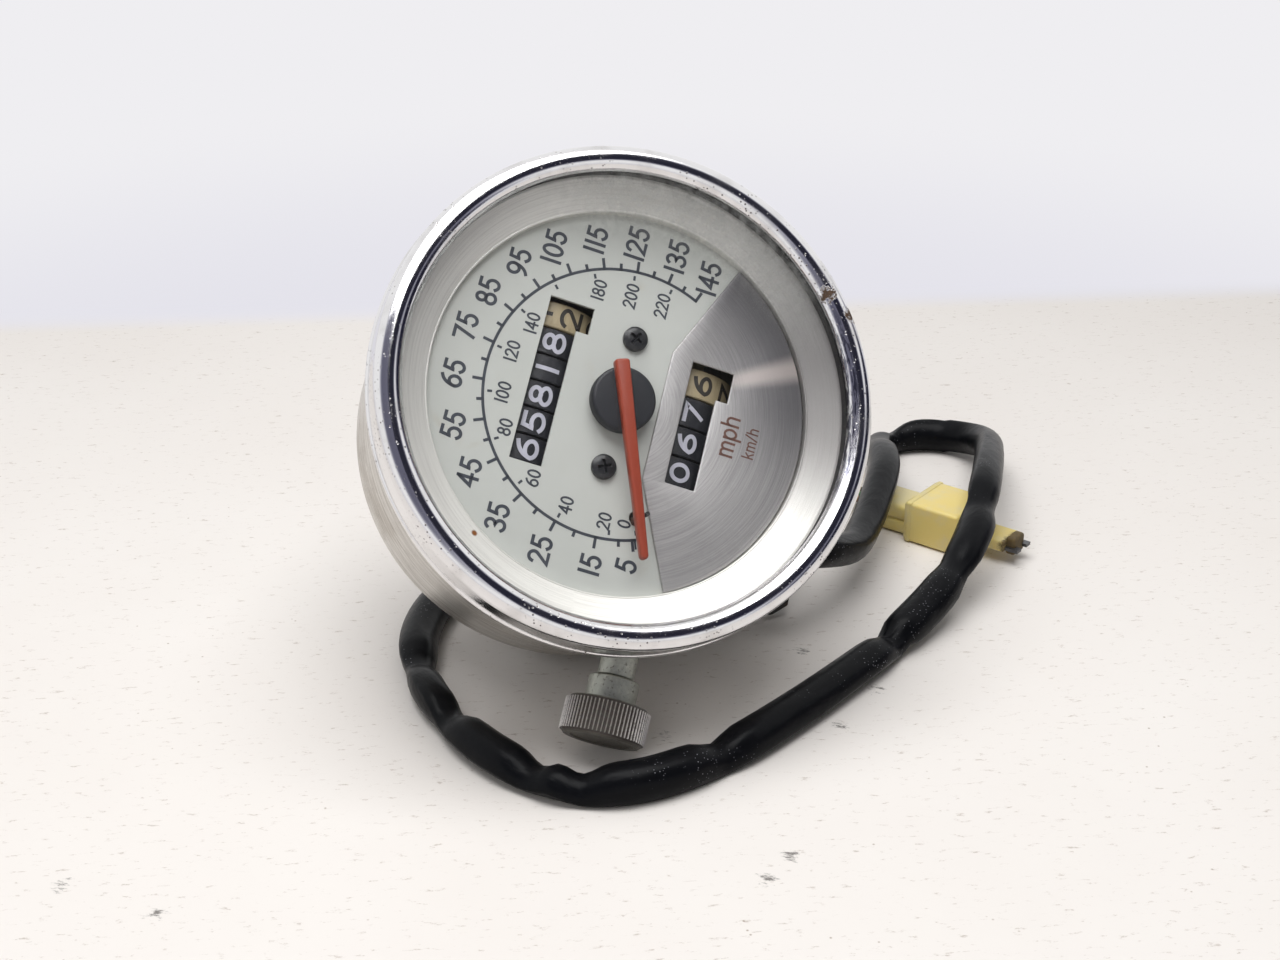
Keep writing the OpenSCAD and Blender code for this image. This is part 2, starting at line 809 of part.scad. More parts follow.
module knob_seal() {
    color([0.1, 0.1, 0.1]) posed() along_x(-trip_y, drum_z)
        tube(bush_flange_r - 0.4, knob_bush_r + fit_clear, seal_x, seal_x + seal_t);
}

module reset_shaft() {
    color("silver") posed() along_x(-trip_y, drum_z)
        rod(shaft_r, knob_end_x + 2, cheek_right_x + cheek_t + 0.6);
}

function knurl_points() =
    [for (i = [0 : 2 * knurl_count - 1])
        let (a = 180 * i / knurl_count)
        let (rad = knurl_r - (i % 2) * knurl_depth)
        [rad * cos(a), rad * sin(a)]];

module reset_knob() {
    color("gray") posed() along_x(-trip_y, drum_z)
        difference() {
            union() {
                rod(knob_boss_r, knurl_x - 1, knob_front_x);
                rod(knurl_r - knob_chamfer, knob_end_x, knurl_x);
                translate([0, 0, knob_end_x + knob_chamfer])
                    linear_extrude(knurl_len - 2 * knob_chamfer)
                        polygon(knurl_points());
            }
            rod(shaft_r + fit_clear, knob_end_x + 2, knob_front_x + 1);
        }
}

// Rear mounting
module at_studs() {
    translate([0, -stud_y, 0])
        both_sides(stud_x)
            children();
}

module harness_grommet() {
    bore_r = sleeve_d / 2 + 0.1;
    inner_r = bore_r + grommet_wall - 0.1;
    seat = cup_inner_r - 3;
    color([0.08, 0.08, 0.08]) posed()
        translate([grommet_x, 0, -grommet_depth])
            rotate([90, 0, 0])
                difference() {
                    union() {
                        rod(inner_r, seat, -grommet_out_y);
                        rod(inner_r + 1.6, grommet_foot_r, grommet_foot_r + 1.4);
                    }
                    rod(sleeve_d / 2 - 1, seat - 1, -grommet_out_y + 1);
                }
}

module mounting_studs() {
    color("silver") posed() at_studs() {
        rod(stud_r, nut_front_z - nut_h + 1, rear_inner_z);
        rod(stud_r + 2, rear_inner_z, rear_inner_z + 2.6);
    }
}

module stud_dampers() {
    color([0.1, 0.1, 0.1]) posed() at_studs() {
        tube(damper_r, stud_r + fit_clear, bracket_front_z, rear_z);
        tube(damper_r, stud_r + fit_clear, washer_front_z, bracket_back_z);
    }
}

module mounting_bracket() {
    ear = stud_x + damper_r;
    corner = 3;
    hole_y = -(bracket_reach - 11);
    color([0.15, 0.15, 0.16]) posed() difference() {
        translate([0, 0, bracket_back_z])
            linear_extrude(bracket_t)
                polygon([
                    [-ear, -stud_y + damper_r],
                    [-union_r - 12, union_r + 8],
                    [union_r + 12, union_r + 8],
                    [ear, -stud_y + damper_r],
                    [ear, -stud_y - damper_r],
                    [bracket_half_w, -stud_y - damper_r - 18],
                    [bracket_half_w, -bracket_reach + corner],
                    [bracket_half_w - corner, -bracket_reach],
                    [-bracket_half_w + corner, -bracket_reach],
                    [-bracket_half_w, -bracket_reach + corner],
                    [-bracket_half_w, -stud_y - damper_r - 18],
                    [-ear, -stud_y - damper_r]
                ]);
        rod(union_r + 4, bracket_back_z - 1, bracket_front_z + 1);
        at_studs()
            rod(stud_r + part_clear, bracket_back_z - 1, bracket_front_z + 1);
        translate([0, hole_y, 0])
            both_sides(bracket_hole_pitch / 2)
                rod(bracket_hole_r, bracket_back_z - 1, bracket_front_z + 1);
    }
}

module stud_washers() {
    color("silver") posed() at_studs()
        tube(damper_r + 0.5, stud_r + fit_clear, nut_front_z, washer_front_z);
}

module dome_nuts() {
    color("silver") posed() at_studs()
        difference() {
            union() {
                translate([0, 0, dome_z])
                    cylinder(r = 5.77, h = nut_h, $fn = 6);
                translate([0, 0, dome_z])
                    sphere(r = dome_r);
            }
            rod(stud_r + fit_clear, nut_front_z - nut_h + 0.9, nut_front_z + 1);
        }
}

// Harness
module harness_sleeve() {
    color([0.09, 0.09, 0.1])
        swept_tube(sleeve_route, sleeve_d / 2 - 0.1, 10, 2);
}

module harness_wires() {
    color("saddlebrown") for (k = [-1, 0, 1])
        swept_tube([for (i = [0 : len(wire_route) - 1]) wire_point(i, k)], wire_d / 2, 8, 2);
}

module connector_frame() {
    translate(connector_place)
        rotate([0, 0, connector_yaw])
            children();
}

module connector_box(x_low, x_high, width, height, lift) {
    translate([x_low, -width / 2, lift])
        cube([x_high - x_low, width, height]);
}

module connector_housing() {
    color("khaki") connector_frame()
        difference() {
            union() {
                connector_box(0, 14.5, 11, block_rear_h, 0);
                connector_box(14, 29, 15.5, block_h, 0);
                connector_box(28.5, 42, 10, tongue_h, 1.2);
                connector_box(17, 26, 5, 1.6, block_h - 0.1);
            }
            for (y = [-2.3, 2.3])
                translate([31, y - 1.3, 1.2 + tongue_h / 2 - 1.2])
                    cube([14, 2.6, 2.4]);
        }
}

module connector_terminals() {
    color("goldenrod") connector_frame()
        for (y = [-2.3, 2.3])
            translate([31, y - 1, 1.2 + tongue_h / 2 - 1.2])
                cube([12.2, 2, 0.8]);
}

// Pointer
module needle() {
    half = needle_w / 2;
    tip_half = needle_tip_w / 2;
    color("orangered") posed() rotate([0, 0, needle_rest])
        translate([0, 0, needle_z])
            linear_extrude(needle_t) {
                polygon([
                    [-needle_tail + half, half],
                    [-needle_tail + half, -half],
                    [needle_len - tip_half, -tip_half],
                    [needle_len - tip_half, tip_half]
                ]);
                translate([-needle_tail + half, 0])
                    circle(r = half);
                translate([needle_len - tip_half, 0])
                    circle(r = tip_half);
            }
}

module needle_hub() {
    color([0.12, 0.13, 0.15]) posed() difference() {
        rod(needle_hub_r, hub_z, hub_z + needle_hub_h);
        rod(spindle_r + fit_clear, hub_z - 1, hub_z + needle_hub_h - 1);
        rotate([0, 0, needle_rest])
            translate([-needle_hub_r - 1, -needle_w / 2 - fit_clear, needle_z])
                cube([2 * needle_hub_r + 2, needle_w + 2 * fit_clear, needle_t + 1]);
    }
}

module pointer_spindle() {
    color("silver") posed()
        rod(spindle_r, frame_top_z + 7, hub_z + needle_hub_h - 1.1);
}

module speed_cup() {
    color("lightgray") posed() difference() {
        rod(speed_cup_r, frame_top_z + 1, frame_top_z + 7.9);
        rod(speed_cup_r - 0.5, frame_top_z, frame_top_z + 7.3);
        rod(spindle_r + fit_clear, frame_top_z, frame_top_z + 9);
    }
}

// Cable drive and worm train
module drive_spindle() {
    socket = 2.7;
    color("silver") posed() difference() {
        union() {
            rod(drive_r, union_back_z + 4, frame_top_z + 1.6);
            rod(drive_worm_r, lay_z - 3.2, frame_back_z - 0.3);
        }
        translate([-socket / 2, -socket / 2, union_back_z + 3])
            cube([socket, socket, 12]);
    }
}

module drive_magnet() {
    color("dimgray") posed() difference() {
        rod(magnet_r, frame_top_z + 1.6, frame_top_z + 6.4);
        rod(1, frame_top_z + 5, frame_top_z + 7);
    }
}

module lay_shaft() {
    color("tan") posed() along_x(lay_y, lay_z) {
        rod(layshaft_r, -7.5, upright_x + 4);
        translate([0, 0, -1.5])
            gear_disc(lay_teeth, 0, 3);
        rod(worm_r, upright_x - 3, upright_x + 3);
    }
}

module upright_shaft() {
    color("tan") posed() translate([upright_x, upright_y, 0]) {
        rod(layshaft_r, lay_z - 2.5, dial_back - 1);
        translate([0, 0, lay_z - 0.8])
            gear_disc(upright_teeth, 0, 1.6);
        rod(worm_r, drum_z - 3, drum_z + 3);
    }
}

module idler_gear() {
    color("tan") posed() along_x(idler_y, drum_z)
        translate([0, 0, spur_x])
            difference() {
                gear_disc(idler_teeth, 90 + 180 / idler_teeth, spur_w);
                rod(layshaft_r + run_clear, -1, spur_w + 1);
            }
}

module trip_gear() {
    color("tan") posed() along_x(-trip_y, drum_z)
        difference() {
            union() {
                translate([0, 0, spur_x])
                    gear_disc(counter_teeth, 90, spur_w);
                rod(hub_r, trip_half + drum_space, spur_x + 0.5);
            }
            rod(shaft_r + run_clear, trip_half, cheek_right_x);
        }
}

// Number drums
module drum(x_low, pitch, y) {
    width = pitch - drum_space;
    web = 1.2;
    along_x(y, drum_z)
        translate([0, 0, x_low + drum_space / 2])
            difference() {
                union() {
                    difference() {
                        rod(drum_r, 0, width);
                        rod(drum_r - drum_wall, web, width + 1);
                    }
                    rod(hub_r, 0, width);
                }
                rod(shaft_r + run_clear, -1, width + 1);
            }
}

module odometer_drum(k) {
    tenths = k == odo_count;
    color(tenths ? "tan" : "midnightblue") posed() {
        drum(-odo_half + (k - 1) * odo_pitch, odo_pitch, odo_y);
        if (tenths)
            along_x(odo_y, drum_z)
                difference() {
                    union() {
                        rod(hub_r, odo_half - 1, gear_x + 0.5);
                        translate([0, 0, gear_x])
                            gear_disc(counter_teeth, -90, gear_w);
                    }
                    rod(shaft_r + run_clear, odo_half - 2, gear_x + gear_w + 1);
                }
    }
}

module trip_drum(k) {
    color(k == trip_count ? "tan" : "midnightblue") posed()
        drum(-trip_half + (k - 1) * trip_pitch, trip_pitch, -trip_y);
}

bezel_ring();
glass_lens();
lens_gasket();
trim_ring();
dial_plate();
sector_plate();
dial_screws();
zero_stop_pin();
case_cup();
movement_frame();
frame_screws();
cable_boss();
drive_bush();
spindle_bridge();
field_ring();
hairspring();
odometer_shaft();
bulb_holders();
bulbs();
knob_bush();
knob_seal();
harness_grommet();
mounting_studs();
stud_dampers();
mounting_bracket();
stud_washers();
dome_nuts();
harness_sleeve();
harness_wires();
connector_housing();
connector_terminals();
needle();
needle_hub();
pointer_spindle();
speed_cup();
drive_spindle();
drive_magnet();
lay_shaft();
upright_shaft();
idler_gear();
trip_gear();
odometer_drum(1);  // odometer_drum_1
odometer_drum(2);  // odometer_drum_2
odometer_drum(3);  // odometer_drum_3
odometer_drum(4);  // odometer_drum_4
odometer_drum(5);  // odometer_drum_5
odometer_drum(6);  // odometer_drum_6
trip_drum(1);  // trip_drum_1
trip_drum(2);  // trip_drum_2
trip_drum(3);  // trip_drum_3
trip_drum(4);  // trip_drum_4
reset_shaft();
reset_knob();
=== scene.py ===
import json
import math
from math import radians

import bmesh
import bpy
from mathutils import Matrix, Vector


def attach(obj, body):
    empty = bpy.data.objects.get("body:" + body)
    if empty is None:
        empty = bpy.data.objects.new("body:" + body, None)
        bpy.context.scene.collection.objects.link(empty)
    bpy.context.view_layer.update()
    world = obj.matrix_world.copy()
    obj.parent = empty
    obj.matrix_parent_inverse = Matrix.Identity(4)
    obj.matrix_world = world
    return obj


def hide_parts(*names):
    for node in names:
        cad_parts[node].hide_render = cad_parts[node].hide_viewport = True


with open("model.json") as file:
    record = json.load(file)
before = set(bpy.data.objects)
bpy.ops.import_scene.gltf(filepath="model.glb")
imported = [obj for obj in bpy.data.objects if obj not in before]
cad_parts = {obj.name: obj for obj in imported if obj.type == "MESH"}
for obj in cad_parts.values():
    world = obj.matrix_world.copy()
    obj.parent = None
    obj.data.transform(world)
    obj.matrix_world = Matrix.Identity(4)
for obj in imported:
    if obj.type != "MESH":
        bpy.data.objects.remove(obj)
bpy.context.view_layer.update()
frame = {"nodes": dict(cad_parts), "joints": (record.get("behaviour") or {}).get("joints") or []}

NODES = frame["nodes"]
JOINTS = {joint["name"]: joint for joint in frame["joints"]}
MM = 0.001

# The dial's own frame: x along the counters, y up the dial, z out of the glass, from the lip's plane
PIVOT_DEPTH = 8
DIAL_Z = Vector(JOINTS["pointer_swing"]["axis"]).normalized()
DIAL_X = Vector(JOINTS["reset_turn"]["axis"]).normalized()
DIAL_Y = DIAL_Z.cross(DIAL_X)
FACE = Vector(JOINTS["pointer_swing"]["pos_m"]) + DIAL_Z * PIVOT_DEPTH * MM
DIAL = Matrix.Translation(FACE) @ Matrix((DIAL_X, DIAL_Y, DIAL_Z)).transposed().to_4x4()
TABLE = Matrix.Identity(4)

# Sizes in millimetres, the same as the solids'
LIP_R = 45.5
BEZEL_R = 51.2
STACK_R = 50.1
CUP_R = 48.4
CUP_REAR_R = 46.6
CUP_WALL = 1.4
CUP_CORNER = 7
CASE_DEPTH = 57
TRIM_R = 39.5
DIAL_DEPTH = 10.4
SECTOR_TOP = -9.6
SCREW_X = 13.8
SCREW_HEAD_R = 2.55
DRUM_R = 10.4
DRUM_Z = -22.5
DRUM_GAP = 0.3
ODO_Y = 15.5
ODO_PITCH = 5.7
TRIP_Y = -15.7
TRIP_PITCH = 6.4
NEEDLE_TIP_HALF = 0.85
KNOB_REACH = 64.9
KNOB_BOSS_LENGTH = 5
KNOB_BOSS_R = 5.2
KNOB_CHAMFER = 0.6
KNURL_LENGTH = 7.8
KNURL_R = 8.8
KNURL_DEPTH = 0.45
KNURL_COUNT = 64
UNION_R = 6
SLEEVE_D = 8.2
WIRE_D = 1.8

# Sizes that follow the photograph more closely than the solids do
NEEDLE_REST = 200.5
NEEDLE_TIP = 32.7
NEEDLE_TAIL = 7.9
NEEDLE_HALF = 1.55
HUB_R = 6.65
GASKET_R = 46.3

# Levels and radii of the front pieces and the cup. The levels count from the lip's plane
BEAD_Z = -2.25
CRIMP_PLACE = (50.7, -8.7)
CRIMP_R = 0.9
FOLD_R = 48.6
FOLD_FRONT = -8.3
FOLD_BACK = -9.6
LIP_BACK = -1.45
GLASS_R = 50.0
GLASS_FRONT = -1.32
GLASS_BACK = -3.28
GLASS_EDGE = 0.18
GASKET_FRONT = -3.3
GASKET_BACK = -5.48
TRIM_FRONT = -5.5
TRIM_FLANGE_BACK = -6.9
TRIM_FOOT = -10.38
TRIM_EDGE = 0.28
CUP_FRONT = -7
CUP_FLAT_R = 20
CUP_HOLE_R = 5.3

# Smaller details
NEEDLE_CORNER = 0.7
SCREW_CROWN = 0.55
SCREW_LIFT = 0.95
SCREW_FOOT = -0.9
SCREW_TURNS = ((-1, 25), (1, 62))
RECESS_ARM = 0.30
RECESS_REACH = 1.45
RECESS_DEPTH = 0.75
STOP_BUSH_PLACE = (-22.6, -8.9, 0)
DRUM_BORE_R = 3.2
DRUM_EDGE = 0.25
DRUM_STROKE = 0.84
KNOB_DISH = -64.6
RIDGE_LENGTH = 6.4
RIDGE_SIZE = 0.5
THREAD_COUNT = 11
THREAD_STEP = 1.0
THREAD_SIZE = 0.42
THREAD_END = -74.5
PRINT_SINK = 0.02
PRINT_LIFT = 0.03

# The frame of the knob's shaft, which lies along the dial's x axis
SHAFT_TURN = Matrix.Rotation(radians(90), 4, "Y")
KNOB_AXIS = DIAL @ Matrix.Translation(Vector((0, TRIP_Y, DRUM_Z)) * MM) @ SHAFT_TURN

# Where the finishes have their marks, in the dial's frame, and where the sleeve is scuffed. Some marks are
# painted light: a highlight and shade on the sector plate, shade on the trim ring, a dark reflection on
# the bezel's inner bead, and shade on the glass along with its dust
RUST_PLACES = [(32.4, -34.6, 0.2), (29.6, -40.2, -0.6)]
TRIM_SPOT = (-34.8, 22.2, -8.0)
SHEEN_ANGLE = radians(-62)
DUST_AND_SHADE_ANGLE = radians(-10)
PITTED_ANGLE = radians(-24)
DARK_REFLECTION_ANGLE = radians(-77)
TRIM_SHADE = radians(-72)
SCUFF_PLACE = (95, 74, 15)


def srgb(red, green, blue):
    """A colour as seen on a screen, 0 to 255, as linear values."""
    def linear(value):
        share = value / 255
        return share / 12.92 if share <= 0.04045 else ((share + 0.055) / 1.055) ** 2.4
    return (linear(red), linear(green), linear(blue), 1.0)


# Camera, with its place in millimetres and its tilt up from straight down
CAMERA_PLACE = Vector((6.69, -387.81, 222.19))
CAMERA_TILT = radians(65)
LENS = 56.25
SENSOR = 36
PHOTO_SIZE = (1280, 960)
PHOTO_MIDDLE = Vector(PHOTO_SIZE) / 2
FOCAL = LENS / SENSOR * PHOTO_SIZE[0]
CAMERA_TURN = Matrix.Rotation(CAMERA_TILT, 3, "X")


def make_camera():
    data = bpy.data.cameras.new("table_camera")
    data.lens = LENS
    data.sensor_width = SENSOR
    data.clip_start = 0.01
    camera = bpy.data.objects.new("table_camera", data)
    camera.location = CAMERA_PLACE * MM
    camera.rotation_euler = (CAMERA_TILT, 0, 0)
    bpy.context.scene.collection.objects.link(camera)
    bpy.context.scene.camera = camera
    bpy.context.scene.view_settings.view_transform = "Standard"


def photo_ray(pixel):
    """The direction in which the camera sees a pixel of the photograph."""
    across, down = (Vector(pixel) - PHOTO_MIDDLE) / FOCAL
    return CAMERA_TURN @ Vector((across, -down, -1))


def photo_pixel(point):
    """The pixel at which the photograph shows a point that is given in millimetres."""
    across, up, back = CAMERA_TURN.inverted() @ (point - CAMERA_PLACE)
    return PHOTO_MIDDLE + Vector((-across, up)) / back * FOCAL


def on_plane(pixel, matrix, level):
    """Where a pixel of the photograph lies on the plane at a level of a frame, in that frame."""
    back = matrix.inverted()
    eye = back @ (CAMERA_PLACE * MM) / MM
    ray = back.to_3x3() @ photo_ray(pixel)
    return eye + ray * ((level - eye.z) / ray.z)


# Node trees
class Wire:
    """A node's output. Arithmetic on it adds Math nodes."""

    def __init__(self, graph, socket):
        self.graph = graph
        self.socket = socket

    def __add__(self, other):
        return self.graph.math("ADD", self, other)

    def __sub__(self, other):
        return self.graph.math("SUBTRACT", self, other)

    def __rsub__(self, other):
        return self.graph.math("SUBTRACT", other, self)

    def __mul__(self, other):
        return self.graph.math("MULTIPLY", self, other)

    def __truediv__(self, other):
        return self.graph.math("DIVIDE", self, other)

    __radd__ = __add__
    __rmul__ = __mul__


class Graph:
    """A node tree that is built from Python expressions."""

    def __init__(self, tree):
        self.tree = tree

    def node(self, kind, settings=None, inputs=None, output=0):
        made = self.tree.nodes.new(kind)
        for name, value in (settings or {}).items():
            setattr(made, name, value)
        for name, value in (inputs or {}).items():
            if isinstance(value, Wire):
                self.tree.links.new(value.socket, made.inputs[name])
            else:
                made.inputs[name].default_value = value
        return Wire(self, made.outputs[output]) if len(made.outputs) else None

    def math(self, operation, *values):
        return self.node("ShaderNodeMath", {"operation": operation}, dict(enumerate(values)))

    def vector(self, x, y, z):
        return self.node("ShaderNodeCombineXYZ", None, {"X": x, "Y": y, "Z": z})

    def split(self, vector):
        return [self.node("ShaderNodeSeparateXYZ", None, {0: vector}, output=i) for i in range(3)]

    def between(self, value, low, high):
        """0 at low, 1 at high and smooth between them. Either may be the larger."""
        limits = {"Value": value, "From Min": low, "From Max": high}
        return self.node("ShaderNodeMapRange", {"interpolation_type": "SMOOTHSTEP"}, limits)

    def larger(self, first, second):
        return self.math("MAXIMUM", first, second)

    def dot(self, first, second):
        settings = {"operation": "DOT_PRODUCT"}
        return self.node("ShaderNodeVectorMath", settings, {0: first, 1: second}, "Value")

    def ray(self, kind):
        """1 for rays of a kind, 0 for others."""
        return self.node("ShaderNodeLightPath", output=f"Is {kind} Ray")


class Finish(Graph):
    """One material's tree."""

    def __init__(self, name):
        self.material = bpy.data.materials.new(name)
        self.material.use_nodes = True
        super().__init__(self.material.node_tree)
        self.tree.nodes.clear()

    def space(self, matrix=DIAL):
        """Object coordinates in millimetres, in the frame of the given matrix."""
        back = matrix.inverted()
        place = self.node("ShaderNodeTexCoord", output="Object")
        settings = {
            "Vector": place,
            "Location": back.translation / MM,
            "Rotation": back.to_euler(),
            "Scale": (1 / MM, 1 / MM, 1 / MM),
        }
        return self.node("ShaderNodeMapping", {"vector_type": "POINT"}, settings)

    def round_space(self, matrix=DIAL):
        """Distance from the axis, angle round it and height along it."""
        x, y, z = self.split(self.space(matrix))
        return self.math("SQRT", x * x + y * y), self.math("ARCTAN2", y, x), z

    def noise(self, vector, scale, detail=4, rough=0.55, distortion=0.0):
        values = {"Vector": vector, "Scale": scale, "Detail": detail, "Roughness": rough,
                  "Distortion": distortion}
        return self.node("ShaderNodeTexNoise", None, values)

    def cells(self, vector, scale):
        """The distance to the nearest of many scattered points."""
        return self.node("ShaderNodeTexVoronoi", {"feature": "F1"}, {"Vector": vector, "Scale": scale})

    def near_angle(self, around, middle, far, near):
        """1 within the angle near of the middle, 0 beyond the angle far."""
        return self.between(self.math("ABSOLUTE", around - middle), far, near)

    def blend(self, share, first, second):
        return self.node("ShaderNodeMix", {"data_type": "RGBA"}, {0: share, 6: first, 7: second}, output=2)

    def distance_to(self, vector, point):
        return self.node("ShaderNodeVectorMath", {"operation": "DISTANCE"}, {0: vector, 1: point}, "Value")

    def surface(self, color, roughness, metallic=0.0, height=None, depth=0.0, **constants):
        inputs = {"Base Color": color, "Roughness": roughness, "Metallic": metallic}
        inputs.update({name.replace("_", " "): value for name, value in constants.items()})
        if height is not None:
            bump = {"Distance": depth * MM, "Height": height}
            inputs["Normal"] = self.node("ShaderNodeBump", None, bump)
        shader = self.node("ShaderNodeBsdfPrincipled", None, inputs, "BSDF")
        self.node("ShaderNodeOutputMaterial", None, {"Surface": shader})
        return self.material


# Finishes
RUST = srgb(104, 62, 34)
DARK_RUST = srgb(58, 40, 30)


def chrome_finish():
    f = Finish("bezel_chrome")
    place = f.space()
    radius, around, height = f.round_space()
    lines = f.noise(f.vector(around * 5, radius * 9, height * 9), 1, 5, 0.6)
    haze = f.noise(place, 0.09, 3)
    worn = f.near_angle(around, PITTED_ANGLE, 0.60, 0.30) * f.between(radius, 48.6, 47.6)
    crowd = f.between(f.noise(place, 0.05, 3) + worn * 0.2, 0.42, 0.60)
    pits = f.between(f.cells(place, 0.95), 0.24, 0.10) * crowd
    near = 0.0
    for spot in RUST_PLACES:
        near = f.larger(near, f.between(f.distance_to(place, spot), 3.8, 0.4))
    rust = f.between(f.noise(place, 1.1, 6, 0.7) + near * 0.40, 0.76, 0.84)
    # Painted reflection: a mottled dark blue band on the inner bead round one angle, where the chrome
    # would mirror a dark room.
    reflection_mottle = f.between(f.noise(f.vector(around * 9, radius * 1.6, height), 1, 6, 0.75), 0.46, 0.56)
    dark_reflection_zone = f.near_angle(around, DARK_REFLECTION_ANGLE, 0.55, 0.25) * f.between(radius, 48.0, 47.2)
    wear = f.between(haze, 0.45, 0.7)
    color = f.blend(wear, srgb(228, 227, 228), srgb(208, 206, 206))
    color = f.blend(reflection_mottle * dark_reflection_zone * 0.85, color, srgb(62, 64, 84))
    color = f.blend(pits * 0.9, color, srgb(84, 74, 68))
    color = f.blend(rust, color, f.blend(f.noise(place, 1.6), srgb(40, 32, 28), srgb(92, 68, 48)))
    rough = 0.07 + wear * 0.10 + lines * 0.08 + pits * 0.4 + rust * 0.7
    return f.surface(color, rough, 1 - rust, lines * 0.5 - pits * 2 + rust * 1.5, 0.014)


def glass_finish():
    f = Finish("clear_glass")
    place = f.space()
    film = f.between(f.noise(place, 0.05, 4, 0.6), 0.50, 0.78)
    radius, around, _ = f.round_space()
    # Near one angle, between radius 30 and 41, the glass carries real dust and also a painted shade: a
    # dark grey haze that darkens the dial seen through it.
    edge = f.between(radius, 30, 41) * f.near_angle(around, DUST_AND_SHADE_ANGLE, 0.95, 0.35)
    crowd = f.between(f.noise(place, 0.07) + edge * 0.25, 0.52, 0.66)
    dust = f.between(f.cells(place, 0.8), 0.08, 0.03) * crowd
    haze = edge * f.between(f.noise(place, 0.5, 5, 0.7), 0.3, 0.8)
    cover = 0.008 + film * 0.012 + dust * 0.3 + haze * 0.5
    return f.surface((0.30, 0.30, 0.29, 1), 0.05 + film * 0.2, Alpha=cover)


def trim_finish():
    f = Finish("turned_trim")
    place = f.space()
    radius, around, height = f.round_space()
    turned = f.noise(f.vector(around * 1.2, radius * 3.4, height), 1, 5, 0.7)
    fine = f.noise(f.vector(around * 4, radius * 17, height), 1, 3, 0.6)
    cloud = f.noise(place, 0.05, 3)
    spot = f.between(f.distance_to(place, TRIM_SPOT), 0.85, 0.45)
    specks = f.between(f.cells(place, 0.5), 0.05, 0.02)
    color = f.blend(cloud, srgb(218, 217, 211), srgb(230, 229, 224))
    color = f.blend(f.between(turned, 0.42, 0.66) * 0.6, color, srgb(196, 194, 189))
    color = f.blend(f.between(fine, 0.50, 0.64) * 0.4, color, srgb(240, 239, 234))
    color = f.blend(specks * 0.6, color, srgb(120, 112, 100))
    # Painted shade: the ring is darker round one angle.
    shade = f.near_angle(around, TRIM_SHADE, 0.95, 0.15)
    color = f.blend(shade * 0.85, color, srgb(128, 125, 124))
    color = f.blend(spot, color, srgb(122, 70, 18))
    rough = 0.42 + turned * 0.16 + spot * 0.3
    return f.surface(color, rough, 0.60 - spot * 0.6, turned * 0.8 + fine * 0.6, 0.03)


def dial_finish():
    f = Finish("dial_enamel")
    place = f.space()
    cloud = f.noise(place, 0.06, 4, 0.6)
    grain = f.noise(place, 3.2, 3, 0.6)
    specks = f.between(f.cells(place, 0.42), 0.045, 0.02)
    stain = f.between(f.noise(place, 0.13, 5, 0.65, 0.6), 0.60, 0.78)
    color = f.blend(cloud, srgb(184, 187, 182), srgb(192, 194, 190))
    color = f.blend(stain * 0.4, color, srgb(176, 171, 156))
    color = f.blend(specks * 0.75, color, srgb(120, 112, 98))
    return f.surface(color, 0.42 + grain * 0.12, 0.0, grain, 0.006)


def ink_finish(name, color, faded):
    f = Finish(name)
    place = f.space()
    worn = f.between(f.noise(place, 1.1, 5, 0.65), 0.55, 0.8)
    tone = f.blend(f.noise(place, 0.2), color, faded)
    tone = f.blend(worn * 0.3, tone, faded)
    return f.surface(tone, 0.5 + worn * 0.2)


def sector_finish():
    f = Finish("brushed_sector")
    place = f.space()
    radius, around, _ = f.round_space()
    brush = f.noise(f.vector(around * 1.4, radius * 4.2, 0.0), 1, 4, 0.65)
    fine = f.noise(f.vector(around * 5, radius * 12, 0.0), 1, 2, 0.6)
    drops = f.cells(place, 0.19)
    rings = f.between(drops, 0.13, 0.16) * f.between(drops, 0.22, 0.19)
    stains = rings * f.between(f.noise(place, 0.05), 0.54, 0.62)
    smear = f.between(f.noise(place, 0.16, 4, 0.6), 0.55, 0.75)
    specks = f.between(f.cells(place, 0.9), 0.05, 0.02) * f.between(f.noise(place, 0.1), 0.5, 0.6)
    # Painted highlight: a narrow bright band at one angle. Painted shade: the plate is darker towards its
    # rim on the side beyond that band.
    sheen = f.near_angle(around, SHEEN_ANGLE, 0.10, 0.01) * f.between(radius, 18, 30)
    shade = f.between(radius, 16, 38) * f.between(around, SHEEN_ANGLE - 0.9, SHEEN_ANGLE - 0.1)
    color = f.blend(f.between(brush, 0.36, 0.64), srgb(162, 160, 160), srgb(184, 182, 181))
    color = f.blend(f.between(fine, 0.45, 0.65) * 0.35, color, srgb(148, 146, 146))
    color = f.blend(shade * 0.78, color, srgb(86, 85, 90))
    color = f.blend(smear * 0.2, color, srgb(144, 141, 141))
    # This brightening mixes the painted highlight with real stains and specks.
    bright = f.larger(sheen * 0.55, stains * 0.4 + specks * 0.7)
    color = f.blend(bright, color, srgb(236, 224, 218))
    rough = 0.42 + brush * 0.10 + smear * 0.10 + stains * 0.1
    return f.surface(color, rough, 0.5, brush * 0.9 + fine * 0.5, 0.02)


def needle_finish():
    f = Finish("orange_needle")
    place = f.space()
    cloud = f.noise(place, 0.35, 4)
    scuff = f.between(f.noise(place, 1.6, 5, 0.7), 0.60, 0.75)
    color = f.blend(cloud, srgb(138, 55, 37), srgb(156, 66, 45))
    color = f.blend(scuff * 0.35, color, srgb(180, 108, 84))
    return f.surface(color, 0.38 + scuff * 0.2, 0.0, f.noise(place, 4, 2), 0.008)


